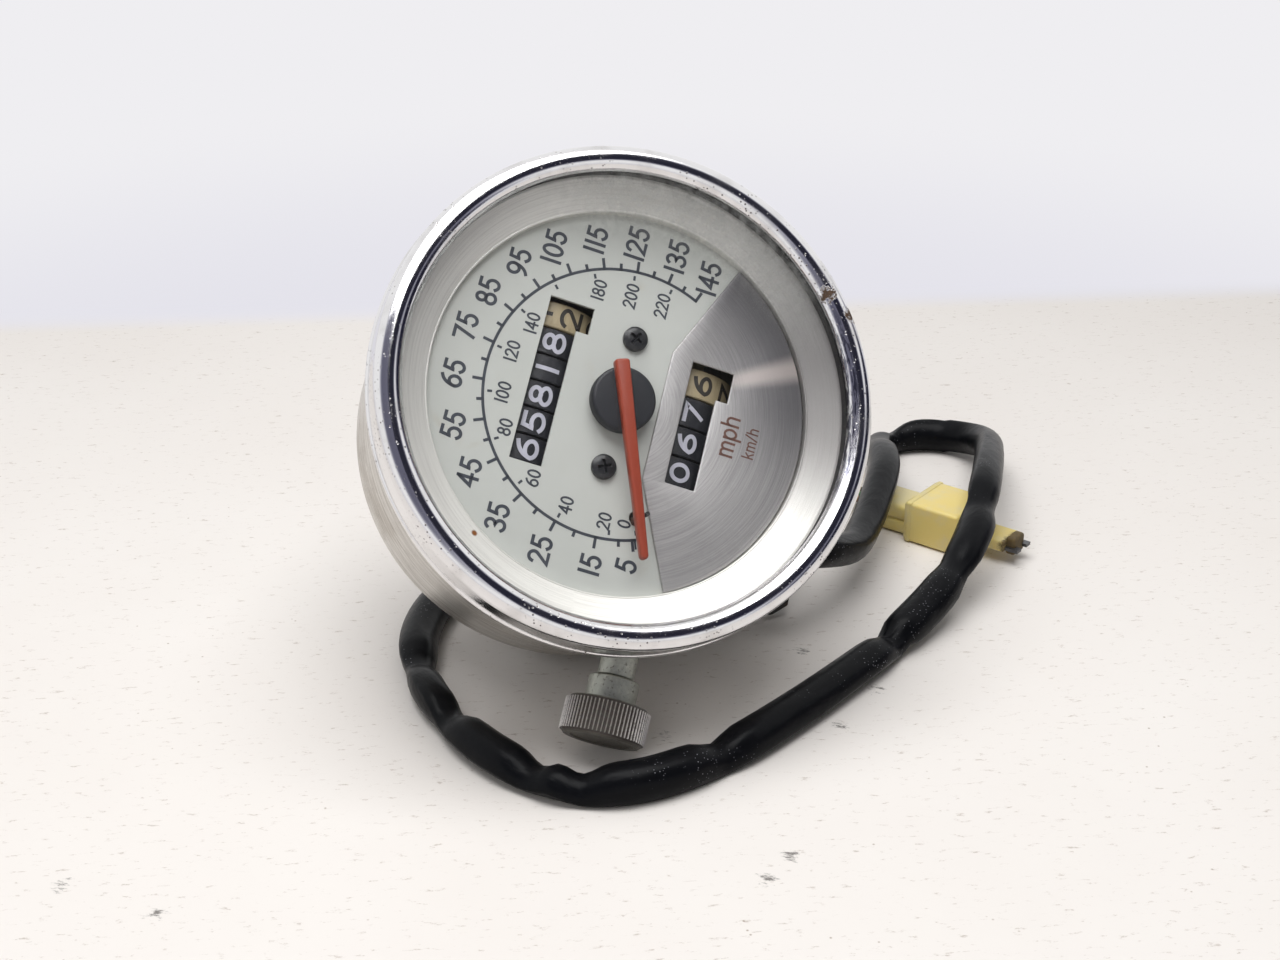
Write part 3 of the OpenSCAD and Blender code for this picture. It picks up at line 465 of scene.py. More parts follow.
def black_finish(name, color, dusty, roughness, scratch=1.0):
    f = Finish(name)
    place = f.space()
    dust = f.between(f.noise(place, 0.7, 6, 0.7), 0.5, 0.78)
    specks = f.between(f.cells(place, 1.3), 0.07, 0.03) * f.between(f.noise(place, 0.25), 0.45, 0.6)
    tone = f.blend(dust * 0.5, color, dusty)
    tone = f.blend(specks * scratch, tone, srgb(150, 146, 138))
    return f.surface(tone, roughness + dust * 0.2, 0.0, f.noise(place, 5, 3) + dust * 0.5, 0.01)


def drum_finish(name, color, dirt):
    f = Finish(name)
    place = f.space()
    drawn = f.node("ShaderNodeVectorMath", {"operation": "MULTIPLY"}, {0: place, 1: (0.5, 2.0, 1.0)})
    wipe = f.between(f.noise(drawn, 0.6, 5, 0.65), 0.48, 0.72)
    specks = f.between(f.cells(place, 1.1), 0.10, 0.05) * f.between(f.noise(place, 0.3), 0.48, 0.58)
    tone = f.blend(wipe * 0.45, color, dirt)
    tone = f.blend(specks * 0.7, tone, srgb(140, 138, 134))
    return f.surface(tone, 0.42 + wipe * 0.25, 0.0, f.noise(place, 4, 3), 0.008)


def cup_finish():
    f = Finish("worn_case_metal")
    place = f.space()
    radius, around, height = f.round_space()
    turned = f.noise(f.vector(around * 1.1, height * 1.5, radius * 3.2), 1, 7, 0.75)
    fine = f.noise(f.vector(around * 6, height * 9, radius), 1, 3, 0.6)
    cloud = f.noise(place, 0.06, 5, 0.6, 0.4)
    tarnish = f.between(cloud, 0.46, 0.70)
    scratch = f.between(f.noise(f.vector(around * 3.5, height * 1.3, 7.0), 1, 7, 0.8), 0.54, 0.64)
    pits = f.between(f.cells(place, 0.9), 0.12, 0.05) * f.between(cloud, 0.48, 0.6)
    color = f.blend(f.between(turned, 0.36, 0.66), srgb(222, 219, 214), srgb(178, 173, 166))
    color = f.blend(tarnish * 0.45, color, srgb(176, 168, 158))
    color = f.blend(scratch * 0.7, color, srgb(98, 86, 74))
    color = f.blend(pits, color, srgb(70, 60, 50))
    rough = 0.26 + turned * 0.18 + tarnish * 0.2 + scratch * 0.15
    return f.surface(color, rough, 0.86 - pits * 0.5 - scratch * 0.3,
                     turned + fine * 0.5 - pits - scratch, 0.04)


def zinc_finish(name, knurled=False):
    """Weathered zinc. On the knob, dirt fills the knurl's grooves and its crests are bright."""
    f = Finish(name)
    place = f.space()
    radius, _, height = f.round_space(KNOB_AXIS)
    bloom = f.between(f.noise(place, 0.45, 6, 0.7), 0.46, 0.70)
    pits = f.between(f.noise(place, 1.5, 6, 0.75, 0.3), 0.56, 0.66)
    grain = f.noise(place, 3.5, 4, 0.7)
    color = f.blend(bloom, srgb(166, 168, 160), srgb(192, 194, 184))
    color = f.blend(pits * 0.8, color, srgb(66, 60, 52))
    rough = 0.42 + bloom * 0.2 + pits * 0.2
    metal = 0.75 - pits * 0.5
    if knurled:
        rim = f.between(radius, 7.6, 8.2)
        crest = f.between(radius + (grain - 0.5) * 0.35, 8.46, 8.72)
        ridged = f.blend(crest, srgb(78, 72, 67), srgb(222, 217, 211))
        color = f.blend(rim, color, f.blend(pits * 0.5, ridged, srgb(64, 56, 50)))
        metal = metal * (1 - rim * (1 - crest) * 0.8)
        end = f.between(height, KNOB_DISH + 0.15, KNOB_DISH)
        color = f.blend(end * 0.85, color, f.blend(pits, srgb(100, 94, 88), srgb(60, 55, 50)))
    return f.surface(color, rough, metal, grain + pits, 0.05)


def rubber_finish(name, color, pale):
    f = Finish(name)
    place = f.space(TABLE)
    bloom = f.between(f.noise(place, 0.28, 5, 0.65), 0.45, 0.75)
    grain = f.noise(place, 2.6, 4, 0.6)
    return f.surface(f.blend(bloom * 0.6, color, pale), 0.62 + grain * 0.15, 0.0, grain, 0.03)


def bracket_finish():
    f = Finish("rusty_black_bracket")
    place = f.space()
    chips = f.between(f.noise(place, 0.30, 7, 0.72, 0.3), 0.56, 0.66)
    bloom = f.noise(place, 1.3, 5, 0.7)
    paint = f.blend(f.noise(place, 0.1), srgb(34, 33, 33), srgb(56, 53, 50))
    rust = f.blend(bloom, DARK_RUST, RUST)
    return f.surface(f.blend(chips, paint, rust), 0.42 + chips * 0.4, 0.0, bloom * chips + chips, 0.07)


def plated_finish(name, bright, dull, roughness):
    f = Finish(name)
    place = f.space()
    dullness = f.between(f.noise(place, 0.3, 5, 0.65), 0.42, 0.7)
    spots = f.between(f.noise(place, 0.8, 6, 0.7), 0.66, 0.74)
    grain = f.noise(place, 6, 3)
    color = f.blend(dullness, bright, dull)
    color = f.blend(spots, color, RUST)
    rough = roughness + dullness * 0.22 + spots * 0.3
    return f.surface(color, rough, 1 - spots * 0.85, grain + spots, 0.015)


def moulded_finish(name, light, dark, roughness):
    f = Finish(name)
    place = f.space()
    cloud = f.noise(place, 0.35, 4)
    grain = f.noise(place, 5, 3)
    return f.surface(f.blend(cloud, light, dark), roughness + grain * 0.1, 0.0, grain, 0.01)


def sleeve_finish():
    f = Finish("black_pvc_sleeve")
    place = f.space(TABLE)
    along = f.node("ShaderNodeUVMap", {"uv_map": "along"})
    turn, run, _ = f.split(along)
    crease = f.noise(f.vector(turn * 4, run * 0.07, 0.0), 1, 3, 0.5, 0.4)
    wrinkle = f.noise(f.vector(turn * 12, run * 0.35, 3.0), 1, 4, 0.6)
    dust = f.between(f.noise(place, 0.30, 6, 0.7), 0.52, 0.8)
    scuffed = f.between(f.distance_to(place, SCUFF_PLACE), 26, 10)
    crowd = f.between(f.noise(place, 0.045, 3) + scuffed * 0.12, 0.54, 0.66)
    specks = f.between(f.cells(place, 1.3), 0.20, 0.08) * crowd
    color = f.blend(dust * 0.3, srgb(12, 13, 16), srgb(34, 35, 39))
    color = f.blend(specks * 0.8, color, srgb(148, 149, 156))
    rough = 0.26 + wrinkle * 0.10 + dust * 0.16 + specks * 0.2
    return f.surface(color, rough, 0.0, crease * 1.2 + wrinkle * 0.12, 0.35, Specular_IOR_Level=0.08)


def wire_finish(name, color, dirt):
    f = Finish(name)
    place = f.space(TABLE)
    grime = f.between(f.noise(place, 0.5, 5, 0.7), 0.45, 0.75)
    tone = f.blend(grime * 0.7, color, dirt)
    return f.surface(tone, 0.36 + grime * 0.25, 0.0, f.noise(place, 3, 3), 0.02)


def nylon_finish(matrix):
    f = Finish("yellowed_nylon")
    place = f.space(matrix)
    along, _, _ = f.split(place)
    aged = f.between(f.noise(place, 0.14, 4, 0.6) + f.between(along, 10, 18) * 0.16, 0.38, 0.70)
    grime = f.between(f.noise(place, 0.5, 6, 0.7), 0.62, 0.82)
    tip = f.between(along + f.noise(place, 0.6, 5, 0.7) * 5, 40.5, 42.5)
    grain = f.noise(place, 2.4, 4, 0.6)
    color = f.blend(aged, srgb(216, 200, 146), srgb(224, 202, 122))
    color = f.blend(grime * 0.35, color, srgb(164, 140, 78))
    color = f.blend(tip, color, f.blend(f.noise(place, 0.9, 5), srgb(46, 40, 32), srgb(112, 92, 52)))
    rough = 0.34 + grain * 0.12 + tip * 0.3
    return f.surface(color, rough, 0.0, grain + tip * 2, 0.02, Subsurface_Weight=0.2,
                     Subsurface_Radius=(0.003, 0.0024, 0.0012), Subsurface_Scale=1.0)


# Shapes
def full_turn(steps):
    """Angles at equal steps once round."""
    return [2 * math.pi * i / steps for i in range(steps)]


def bow(x, y, wide, high, first, last, steps=16):
    """Points of a round or oval bow about a middle, with its angles in degrees."""
    angles = [radians(first + (last - first) * i / steps) for i in range(steps + 1)]
    return [(x + wide * math.cos(a), y + high * math.sin(a)) for a in angles]


def arc(centre, radius, first, last, steps):
    return bow(*centre, radius, radius, first, last, steps)


class Shape:
    """Points in millimetres with faces and the number of each face's finish."""

    def __init__(self):
        self.points = []
        self.faces = []
        self.paint = []

    def face(self, corners, paint=0):
        self.faces.append(corners)
        self.paint.append(paint)

    def loft(self, rings, closed=False, paint=0):
        """Joins rings of points, from the first to the last and, if closed, back to the first."""
        base = len(self.points)
        count = len(rings[0])
        for ring in rings:
            self.points += [Vector(point) for point in ring]
        last = len(rings) if closed else len(rings) - 1
        for a in range(last):
            b = (a + 1) % len(rings)
            for i in range(count):
                j = (i + 1) % count
                self.face([base + a * count + i, base + a * count + j,
                           base + b * count + j, base + b * count + i], paint)
        if not closed:
            self.face([base + i for i in reversed(range(count))], paint)
            self.face([base + (len(rings) - 1) * count + i for i in range(count)], paint)

    def lathe(self, outline, closed=True, steps=256, turn=TABLE):
        """Turns an outline of (radius, height) about the z axis of the turned frame."""
        rings = []
        for radius, height in outline:
            ring = [(radius * math.cos(a), radius * math.sin(a), height) for a in full_turn(steps)]
            rings.append([turn @ Vector(point) for point in ring])
        self.loft(rings, closed)

    def ribbon(self, line, width, low, high, closed=False, bend=None, paint=0):
        """A flat printed line of a width, from height low to high. A function may bend it."""
        points = [Vector(point) for point in line]
        count = len(points)
        if not closed:
            points[0] = points[0] + (points[0] - points[1]).normalized() * width / 2
            points[-1] = points[-1] + (points[-1] - points[-2]).normalized() * width / 2
        rings = []
        for i, point in enumerate(points):
            before = points[i - 1] if closed or i else point
            after = points[(i + 1) % count] if closed or i < count - 1 else point
            first = (point - before).normalized() if before != point else (after - point).normalized()
            second = (after - point).normalized() if after != point else first
            middle = (first + second).normalized()
            side = Vector((-middle.y, middle.x))
            reach = width / 2 / max(0.5, side.dot(Vector((-first.y, first.x))))
            left, right = point + side * reach, point - side * reach
            ring = [(left.x, left.y, high), (right.x, right.y, high),
                    (right.x, right.y, low), (left.x, left.y, low)]
            rings.append([bend(Vector(corner)) for corner in ring] if bend else ring)
        self.loft(rings, closed, paint)

    def mesh(self, name, finishes, place=DIAL, sharp=35):
        made = bpy.data.meshes.new(name)
        scale = place @ Matrix.Scale(MM, 4)
        made.from_pydata([scale @ point for point in self.points], [], self.faces)
        made.polygons.foreach_set("material_index", self.paint)
        edit = bmesh.new()
        edit.from_mesh(made)
        bmesh.ops.remove_doubles(edit, verts=edit.verts, dist=1e-7)
        bmesh.ops.recalc_face_normals(edit, faces=edit.faces)
        edit.to_mesh(made)
        edit.free()
        for finish in finishes:
            made.materials.append(finish)
        smooth(made, sharp)
        return made

    def piece(self, name, body, slot, finishes, replaces=(), place=DIAL, sharp=35):
        return add_piece(name, self.mesh(name, finishes, place, sharp), body, replaces)


def smooth(mesh, sharp=35):
    mesh.shade_smooth()
    mesh.set_sharp_from_angle(angle=radians(sharp))


def add_piece(name, mesh, body, replaces=()):
    made = bpy.data.objects.new(name, mesh)
    bpy.context.scene.collection.objects.link(made)
    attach(made, body)
    if replaces:
        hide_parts(*replaces)
    return made


def softened(name, node, finish, width):
    """A copy of a solid with its sharp edges rounded, which stands for it."""
    edit = bmesh.new()
    edit.from_mesh(NODES[node].data)
    bmesh.ops.remove_doubles(edit, verts=edit.verts, dist=2e-6)
    bmesh.ops.dissolve_limit(edit, angle_limit=radians(0.6), verts=edit.verts, edges=edit.edges)
    hard = [e for e in edit.edges if len(e.link_faces) == 2 and e.calc_face_angle() > radians(30)]
    bmesh.ops.bevel(edit, geom=hard, offset=width * MM, segments=3, profile=0.5, affect="EDGES",
                    clamp_overlap=True)
    mesh = bpy.data.meshes.new(name)
    edit.to_mesh(mesh)
    edit.free()
    mesh.materials.append(finish)
    smooth(mesh, 40)
    return add_piece(name, mesh, "case", (node,))


def along_x(y, z):
    """The frame of a shaft that lies along the dial's x axis."""
    return Matrix.Translation((0, y, z)) @ SHAFT_TURN


# Geometry node trees
class Pattern(Graph):
    """A geometry tree with named inputs that ends in realised instances and a material."""

    def __init__(self, name, inputs):
        super().__init__(bpy.data.node_groups.new(name, "GeometryNodeTree"))
        self.names = {}
        for label, kind in {**inputs, "Material": "NodeSocketMaterial"}.items():
            socket = self.tree.interface.new_socket(label, in_out="INPUT", socket_type=kind)
            self.names[label] = socket.identifier
        self.tree.interface.new_socket("Geometry", in_out="OUTPUT", socket_type="NodeSocketGeometry")
        self.source = self.tree.nodes.new("NodeGroupInput")

    def value(self, label):
        return Wire(self, self.source.outputs[label])

    def close(self, geometry):
        real = self.node("GeometryNodeRealizeInstances", None, {"Geometry": geometry})
        paint = {"Geometry": real, "Material": self.value("Material")}
        painted = self.node("GeometryNodeSetMaterial", None, paint)
        self.node("NodeGroupOutput", None, {"Geometry": painted})
        return self

    def run(self, name, turn=TABLE, **values):
        """Runs the tree, in millimetres, and gives a plain mesh that is turned in the dial's frame."""
        holder = bpy.data.objects.new(name, bpy.data.meshes.new(name))
        bpy.context.scene.collection.objects.link(holder)
        modifier = holder.modifiers.new("pattern", "NODES")
        modifier.node_group = self.tree
        for label, value in values.items():
            modifier[self.names[label]] = value
        graph = bpy.context.evaluated_depsgraph_get()
        mesh = bpy.data.meshes.new_from_object(holder.evaluated_get(graph))
        bpy.data.objects.remove(holder)
        mesh.transform(DIAL @ Matrix.Scale(MM, 4) @ turn)
        mesh.name = name
        return mesh


def reading_pattern():
    """Marks round the dial at equal steps of the reading. Every second mark may be shorter."""
    p = Pattern("marks_on_the_scale", {
        "Count": "NodeSocketInt", "First": "NodeSocketFloat", "Step": "NodeSocketFloat",
        "Radius": "NodeSocketFloat", "Long": "NodeSocketFloat", "Short": "NodeSocketFloat",
        "Width": "NodeSocketFloat", "Thickness": "NodeSocketFloat", "Level": "NodeSocketFloat"})
    index = p.node("GeometryNodeInputIndex")
    speed = p.value("First") + p.value("Step") * index
    over = speed - SCALE_KNEE
    upper = SCALE_KNEE_ANGLE - over * SCALE_RATE + over * over * SCALE_EASE
    low = speed / SCALE_KNEE
    lower = SCALE_KNEE_ANGLE + (1 - low * low) * SCALE_FOOT
    is_upper = p.math("GREATER_THAN", speed, SCALE_KNEE - 0.01)
    angle = (is_upper * upper + (1 - is_upper) * lower) * (math.pi / 180)
    odd = p.math("MODULO", index, 2)
    length = p.value("Long") * (1 - odd) + p.value("Short") * odd
    reach = p.value("Radius") + length / 2
    spot = p.vector(p.math("COSINE", angle) * reach, p.math("SINE", angle) * reach, p.value("Level"))
    points = p.node("GeometryNodePoints", None, {"Count": p.value("Count"), "Position": spot})
    bar = p.node("GeometryNodeMeshCube", None, {"Size": (1, 1, 1)})
    marks = p.node("GeometryNodeInstanceOnPoints", None, {
        "Points": points, "Instance": bar, "Rotation": p.vector(0.0, 0.0, angle),
        "Scale": p.vector(length, p.value("Width"), p.value("Thickness"))})
    return p.close(marks)


def ridge_pattern():
    """Three-sided ridges laid side by side round a rim."""
    p = Pattern("ridges_round_a_rim", {
        "Count": "NodeSocketInt", "Radius": "NodeSocketFloat", "Length": "NodeSocketFloat",
        "Size": "NodeSocketFloat", "Level": "NodeSocketFloat"})
    index = p.node("GeometryNodeInputIndex")
    angle = index * (2 * math.pi) / p.value("Count")
    spot = p.vector(p.math("COSINE", angle) * p.value("Radius"), p.math("SINE", angle) * p.value("Radius"),
                    p.value("Level"))
    points = p.node("GeometryNodePoints", None, {"Count": p.value("Count"), "Position": spot})
    bar = p.node("GeometryNodeMeshCylinder", None, {
        "Vertices": 3, "Radius": p.value("Size"), "Depth": p.value("Length")})
    ridges = p.node("GeometryNodeInstanceOnPoints", None, {
        "Points": points, "Instance": bar, "Rotation": p.vector(0.0, 0.0, angle)})
    return p.close(ridges)


def thread_pattern():
    """Three-sided rings at equal steps along a neck, for a screw thread."""
    p = Pattern("rings_along_a_neck", {
        "Count": "NodeSocketInt", "Radius": "NodeSocketFloat", "Step": "NodeSocketFloat",
        "Size": "NodeSocketFloat", "Level": "NodeSocketFloat"})
    height = p.value("Level") + p.node("GeometryNodeInputIndex") * p.value("Step")
    spot = p.vector(0.0, 0.0, height)
    points = p.node("GeometryNodePoints", None, {"Count": p.value("Count"), "Position": spot})
    circle = "GeometryNodeCurvePrimitiveCircle"
    hoop_line = p.node(circle, None, {"Resolution": 72, "Radius": p.value("Radius")})
    section = p.node(circle, None, {"Resolution": 3, "Radius": p.value("Size")})
    ring = p.node("GeometryNodeCurveToMesh", None, {"Curve": hoop_line, "Profile Curve": section})
    rings = p.node("GeometryNodeInstanceOnPoints", None, {"Points": points, "Instance": ring})
    return p.close(rings)


# The harness, which lies on the table
def smooth_route(points, steps):
    """A curve through the points, by the rule that the solids' route follows."""
    made = []
    for i in range(len(points) - 1):
        a, b = points[max(i - 1, 0)], points[i]
        c, d = points[i + 1], points[min(i + 2, len(points) - 1)]
        for k in range(steps):
            t = k / steps
            made.append(0.5 * (2 * b + (c - a) * t + (2 * a - 5 * b + 4 * c - d) * t * t
                               + (3 * b - a - 3 * c + d) * t * t * t))
    return made + [points[-1]]


def route_length(route):
    return sum((b - a).length for a, b in zip(route, route[1:]))


GROMMET_MOUTH = [DIAL @ (Vector((-8, -51.1 - out, -45)) * MM) / MM for out in (0, 8)]
SLEEVE_ROUTE = GROMMET_MOUTH + [Vector(point) for point in [
    (55, 23, 13.5), (60, 37, 12.2), (64, 51, 12.6), (67.5, 66, 13.2), (68.6, 79, 11.5), (69, 91, 7),
    (71.5, 101, 4.8), (78.5, 107, 4.5), (87.5, 107.5, 4.7), (95, 102, 6), (97.6, 92, 9), (96, 79, 12.4),
    (93, 63, 15.6), (89.5, 47, 17), (85, 31, 14), (77, 15, 9.5), (67, 2, 5.5), (56, -11.5, 4.5),
    (40, -31, 4.5), (25, -47, 4.5), (11, -57, 4.5), (-1, -60, 4.5), (-12, -57, 4.5), (-23, -48, 4.5),
    (-33, -34, 4.5), (-39, -21, 4.5), (-42, -4, 4.5), (-40, 13, 4.5), (-33, 28, 4.5), (-21, 40, 4.5),
    (-6, 48, 4.5), (10, 56, 4.5), (24, 62, 4.5)]]
WIRE_ROUTE = [
    (21, 60.7, 4.5), (31, 66, 4.5), (42, 72, 4.5), (52, 75.5, 4.5), (60, 72, 4.5), (66.6, 66.8, 4.5)]
WIRE_SPREAD = 2.6
# Creases of the sleeve that the photograph shows near these pixels
CREASE_PIXELS = [(975, 505), (960, 570), (895, 650), (715, 745), (580, 780), (462, 712), (420, 668)]
# More creases, given at these lengths from the grommet
MORE_CREASES = [112, 353, 440, 478]
CREASE_LENGTH = 4.0
CREASE_TURN = 0.75
CREASE_STEEPNESS = 0.45
# How far a crease draws in the sleeve's width, its thickness and one side
PINCH_WIDE = 0.16
PINCH_FLAT = 0.30
PINCH_DENT = 0.16
LEAN_START = 0.4
LEAN_SWAY = 0.35
SWAY_RATE = 0.035
SLEEVE_SPREAD = 1.08
SLEEVE_FLAT = 0.85
SLEEVE_SIDES = 32
WIRE_SIDES = 12
# Over these lengths at its start and end the sleeve is still round
ROUND_START = 16
ROUND_END = 12
# Below this height the sleeve lies on the table, just clear of it
LYING_Z = 4.9
TABLE_GAP = 0.1


def tube_rings(route, section):
    """Rings of points along a route. section gives a ring from its number and two side directions."""
    rings = []
    side = Vector((0, 0, 1))
    for i, point in enumerate(route):
        ahead = (route[min(i + 1, len(route) - 1)] - route[max(i - 1, 0)]).normalized()
        side = (side - ahead * side.dot(ahead)).normalized()
        rings.append([point + offset for offset in section(i, side, ahead.cross(side))])
    return rings


def crease_lengths(route, run):
    """How far along the sleeve its creases are, in tenths of a millimetre rounded to whole ones."""
    made = list(MORE_CREASES)
    for pixel in CREASE_PIXELS:
        nearest = min(range(len(route)), key=lambda i: (photo_pixel(route[i]) - Vector(pixel)).length)
        made.append(math.floor(round(run[nearest], 1) + 0.5))
    return sorted(made)


def make_sleeve(finish):
    """A soft sleeve, pressed flat, that turns over as it goes and is creased where it bends."""
    route = smooth_route(SLEEVE_ROUTE, 6)
    run = [0.0]
    for a, b in zip(route, route[1:]):
        run.append(run[-1] + (b - a).length)
    half = SLEEVE_D / 2 * SLEEVE_SPREAD
    creases = crease_lengths(route, run)

    def section(i, side, other):
        ends = min(1, run[i] / ROUND_START, (run[-1] - run[i]) / ROUND_END)
        pinch = ends * max(math.exp(-((run[i] - place) / CREASE_LENGTH) ** 2) for place in creases)
        lean = LEAN_START + LEAN_SWAY * math.sin(run[i] * SWAY_RATE)
        for n, place in enumerate(creases):
            passed = 1 / (1 + math.exp((place - run[i]) * CREASE_STEEPNESS))
            lean += CREASE_TURN * (1 if n % 2 else -0.6) * passed
        wide = 1 - ends * PINCH_WIDE * pinch
        flat = (1 - ends * (1 - SLEEVE_FLAT)) * (1 - PINCH_FLAT * pinch)
        offsets = []
        for angle in full_turn(SLEEVE_SIDES):
            x = math.cos(angle) * half * wide
            y = math.copysign(abs(math.sin(angle)) ** (1 + 0.35 * ends), math.sin(angle)) * half * flat
            dent = 1 - PINCH_DENT * pinch * max(0.0, math.cos(angle - 2.2 + run[i] * 0.02))
            to_side = x * math.cos(lean) - y * math.sin(lean)
            to_other = x * math.sin(lean) + y * math.cos(lean)
            offsets.append((side * to_side + other * to_other) * dent)
        return offsets

    rings = tube_rings(route, section)
    for i, ring in enumerate(rings):
        if route[i].z < LYING_Z:
            drop = Vector((0, 0, TABLE_GAP - min(point.z for point in ring)))
            rings[i] = [point + drop for point in ring]
            route[i] = route[i] + drop
    shape = Shape()
    shape.loft(rings)
    mesh = shape.mesh("harness_sleeve_soft", [finish], TABLE, 60)
    uv = mesh.uv_layers.new(name="along")
    for polygon in mesh.polygons:
        columns = [vertex % SLEEVE_SIDES for vertex in polygon.vertices]
        at_seam = max(columns) == SLEEVE_SIDES - 1
        for loop, vertex, column in zip(polygon.loop_indices, polygon.vertices, columns):
            wrapped = column + SLEEVE_SIDES if column == 0 and at_seam else column
            uv.data[loop].uv = (wrapped / SLEEVE_SIDES, run[min(vertex // SLEEVE_SIDES, len(run) - 1)])
    piece = add_piece("harness_sleeve_soft", mesh, "case", ("harness_sleeve",))
    return piece, [point * MM for point in route]


def make_wire(number, name, finish):
    k = number - 1
    first, last = Vector((-0.42, 0.91, 0)), Vector((0.62, 0.79, 0))
    count = len(WIRE_ROUTE) - 1
    points = [Vector(point) + first.lerp(last, i / count) * k * WIRE_SPREAD
              for i, point in enumerate(WIRE_ROUTE)]
    route = smooth_route(points, 6)

    def section(i, side, other):
        return [(side * math.cos(a) + other * math.sin(a)) * WIRE_D / 2 for a in full_turn(WIRE_SIDES)]

    shape = Shape()
    shape.loft(tube_rings(route, section))
    piece = shape.piece(name, "case", "wire", [finish], ("harness_wires",), TABLE, 60)
    return piece, [point * MM for point in route]


# The connector lies beside the loop
# Each block has a start, end, width, height, lift above its seat and edge radius
CONNECTOR_BLOCKS = [
    (0, 14.5, 10.6, 3.6, 0.0, 0.9), (0, 14.5, 10.6, 3.5, 3.9, 0.9), (0.4, 14.5, 9.4, 7.0, 0.2, 0.3),
    (14, 29, 15.5, 10.4, 0.0, 0.9), (14.6, 16.2, 15.8, 10.6, -0.05, 0.5),
    (28.5, 39.8, 8.2, 2.8, 2.9, 0.5), (39.4, 42, 5.0, 4.6, 2.0, 0.7)]
CONNECTOR = Matrix.Translation(Vector((65, 68, 0.3)) * MM) @ Matrix.Rotation(radians(-38), 4, "Z")


def make_connector():
    """Rounded blocks in a row, from the wires' collars to the tongue with its dirty end."""
    edit = bmesh.new()
    for start, end, wide, high, lift, edge in CONNECTOR_BLOCKS:
        middle = Matrix.Translation(((start + end) / 2, 0, lift + high / 2))
        size = Matrix.Diagonal((end - start, wide, high, 1))
        block = bmesh.ops.create_cube(edit, size=1, matrix=middle @ size)
        edges = {e for vertex in block["verts"] for e in vertex.link_edges}
        bmesh.ops.bevel(edit, geom=list(edges), offset=edge, segments=4, profile=0.5, affect="EDGES")
    edit.transform(CONNECTOR @ Matrix.Scale(MM, 4))
    mesh = bpy.data.meshes.new("connector_housing_moulded")
    edit.to_mesh(mesh)
    edit.free()
    mesh.materials.append(nylon_finish(CONNECTOR))
    smooth(mesh, 40)
    return add_piece("connector_housing_moulded", mesh, "case", ("connector_housing",))


def make_harness():
    connector = make_connector()
    terminals = NODES["connector_terminals"]
    sleeve, sleeve_path = make_sleeve(sleeve_finish())
    wires = []
    wire_looks = [("wire_brown", srgb(96, 58, 36), srgb(50, 40, 34)),
                  ("wire_green", srgb(52, 104, 66), srgb(44, 56, 44)),
                  ("wire_black", srgb(34, 34, 36), srgb(66, 62, 58))]
    for number, (name, color, dirt) in enumerate(wire_looks):
        wires.append(make_wire(number, name, wire_finish(name + "_insulation", color, dirt)))
    with_sleeve = [connector, terminals] + [piece for piece, path in wires]
    round(route_length(sleeve_path), 3)
    for piece, path in wires:
        round(route_length(path), 3)


# The scale's rule: how the angle goes with the reading
SCALE_KNEE = 15
SCALE_KNEE_ANGLE = 184
SCALE_RATE = 1.8146
SCALE_EASE = 0.001763
SCALE_FOOT = 17.4
SCALE_R = 28.0
SCALE_START = 3.2
SCALE_END = 145
SCALE_STEPS = 160
KMH = 1.609


def reading_angle(speed):
    over = speed - SCALE_KNEE
    if over >= 0:
        return SCALE_KNEE_ANGLE - SCALE_RATE * over + SCALE_EASE * over * over
    return SCALE_KNEE_ANGLE + SCALE_FOOT * (1 - (speed / SCALE_KNEE) ** 2)


# Plain figures, as lines in a box one unit high
def hoop(x, y, wide, high):
    return bow(x, y, wide, high, 0, 348.75, 31)


def sweep(a, b, c, steps=12):
    """A curve from a to c that b draws towards itself."""
    made = []
    for i in range(steps + 1):
        t = i / steps
        made.append(tuple((1 - t) ** 2 * p + 2 * t * (1 - t) * q + t * t * r for p, q, r in zip(a, b, c)))
    return made


def turned_over(lines):
    return [([(-x, -y) for x, y in line], closed) for line, closed in lines]


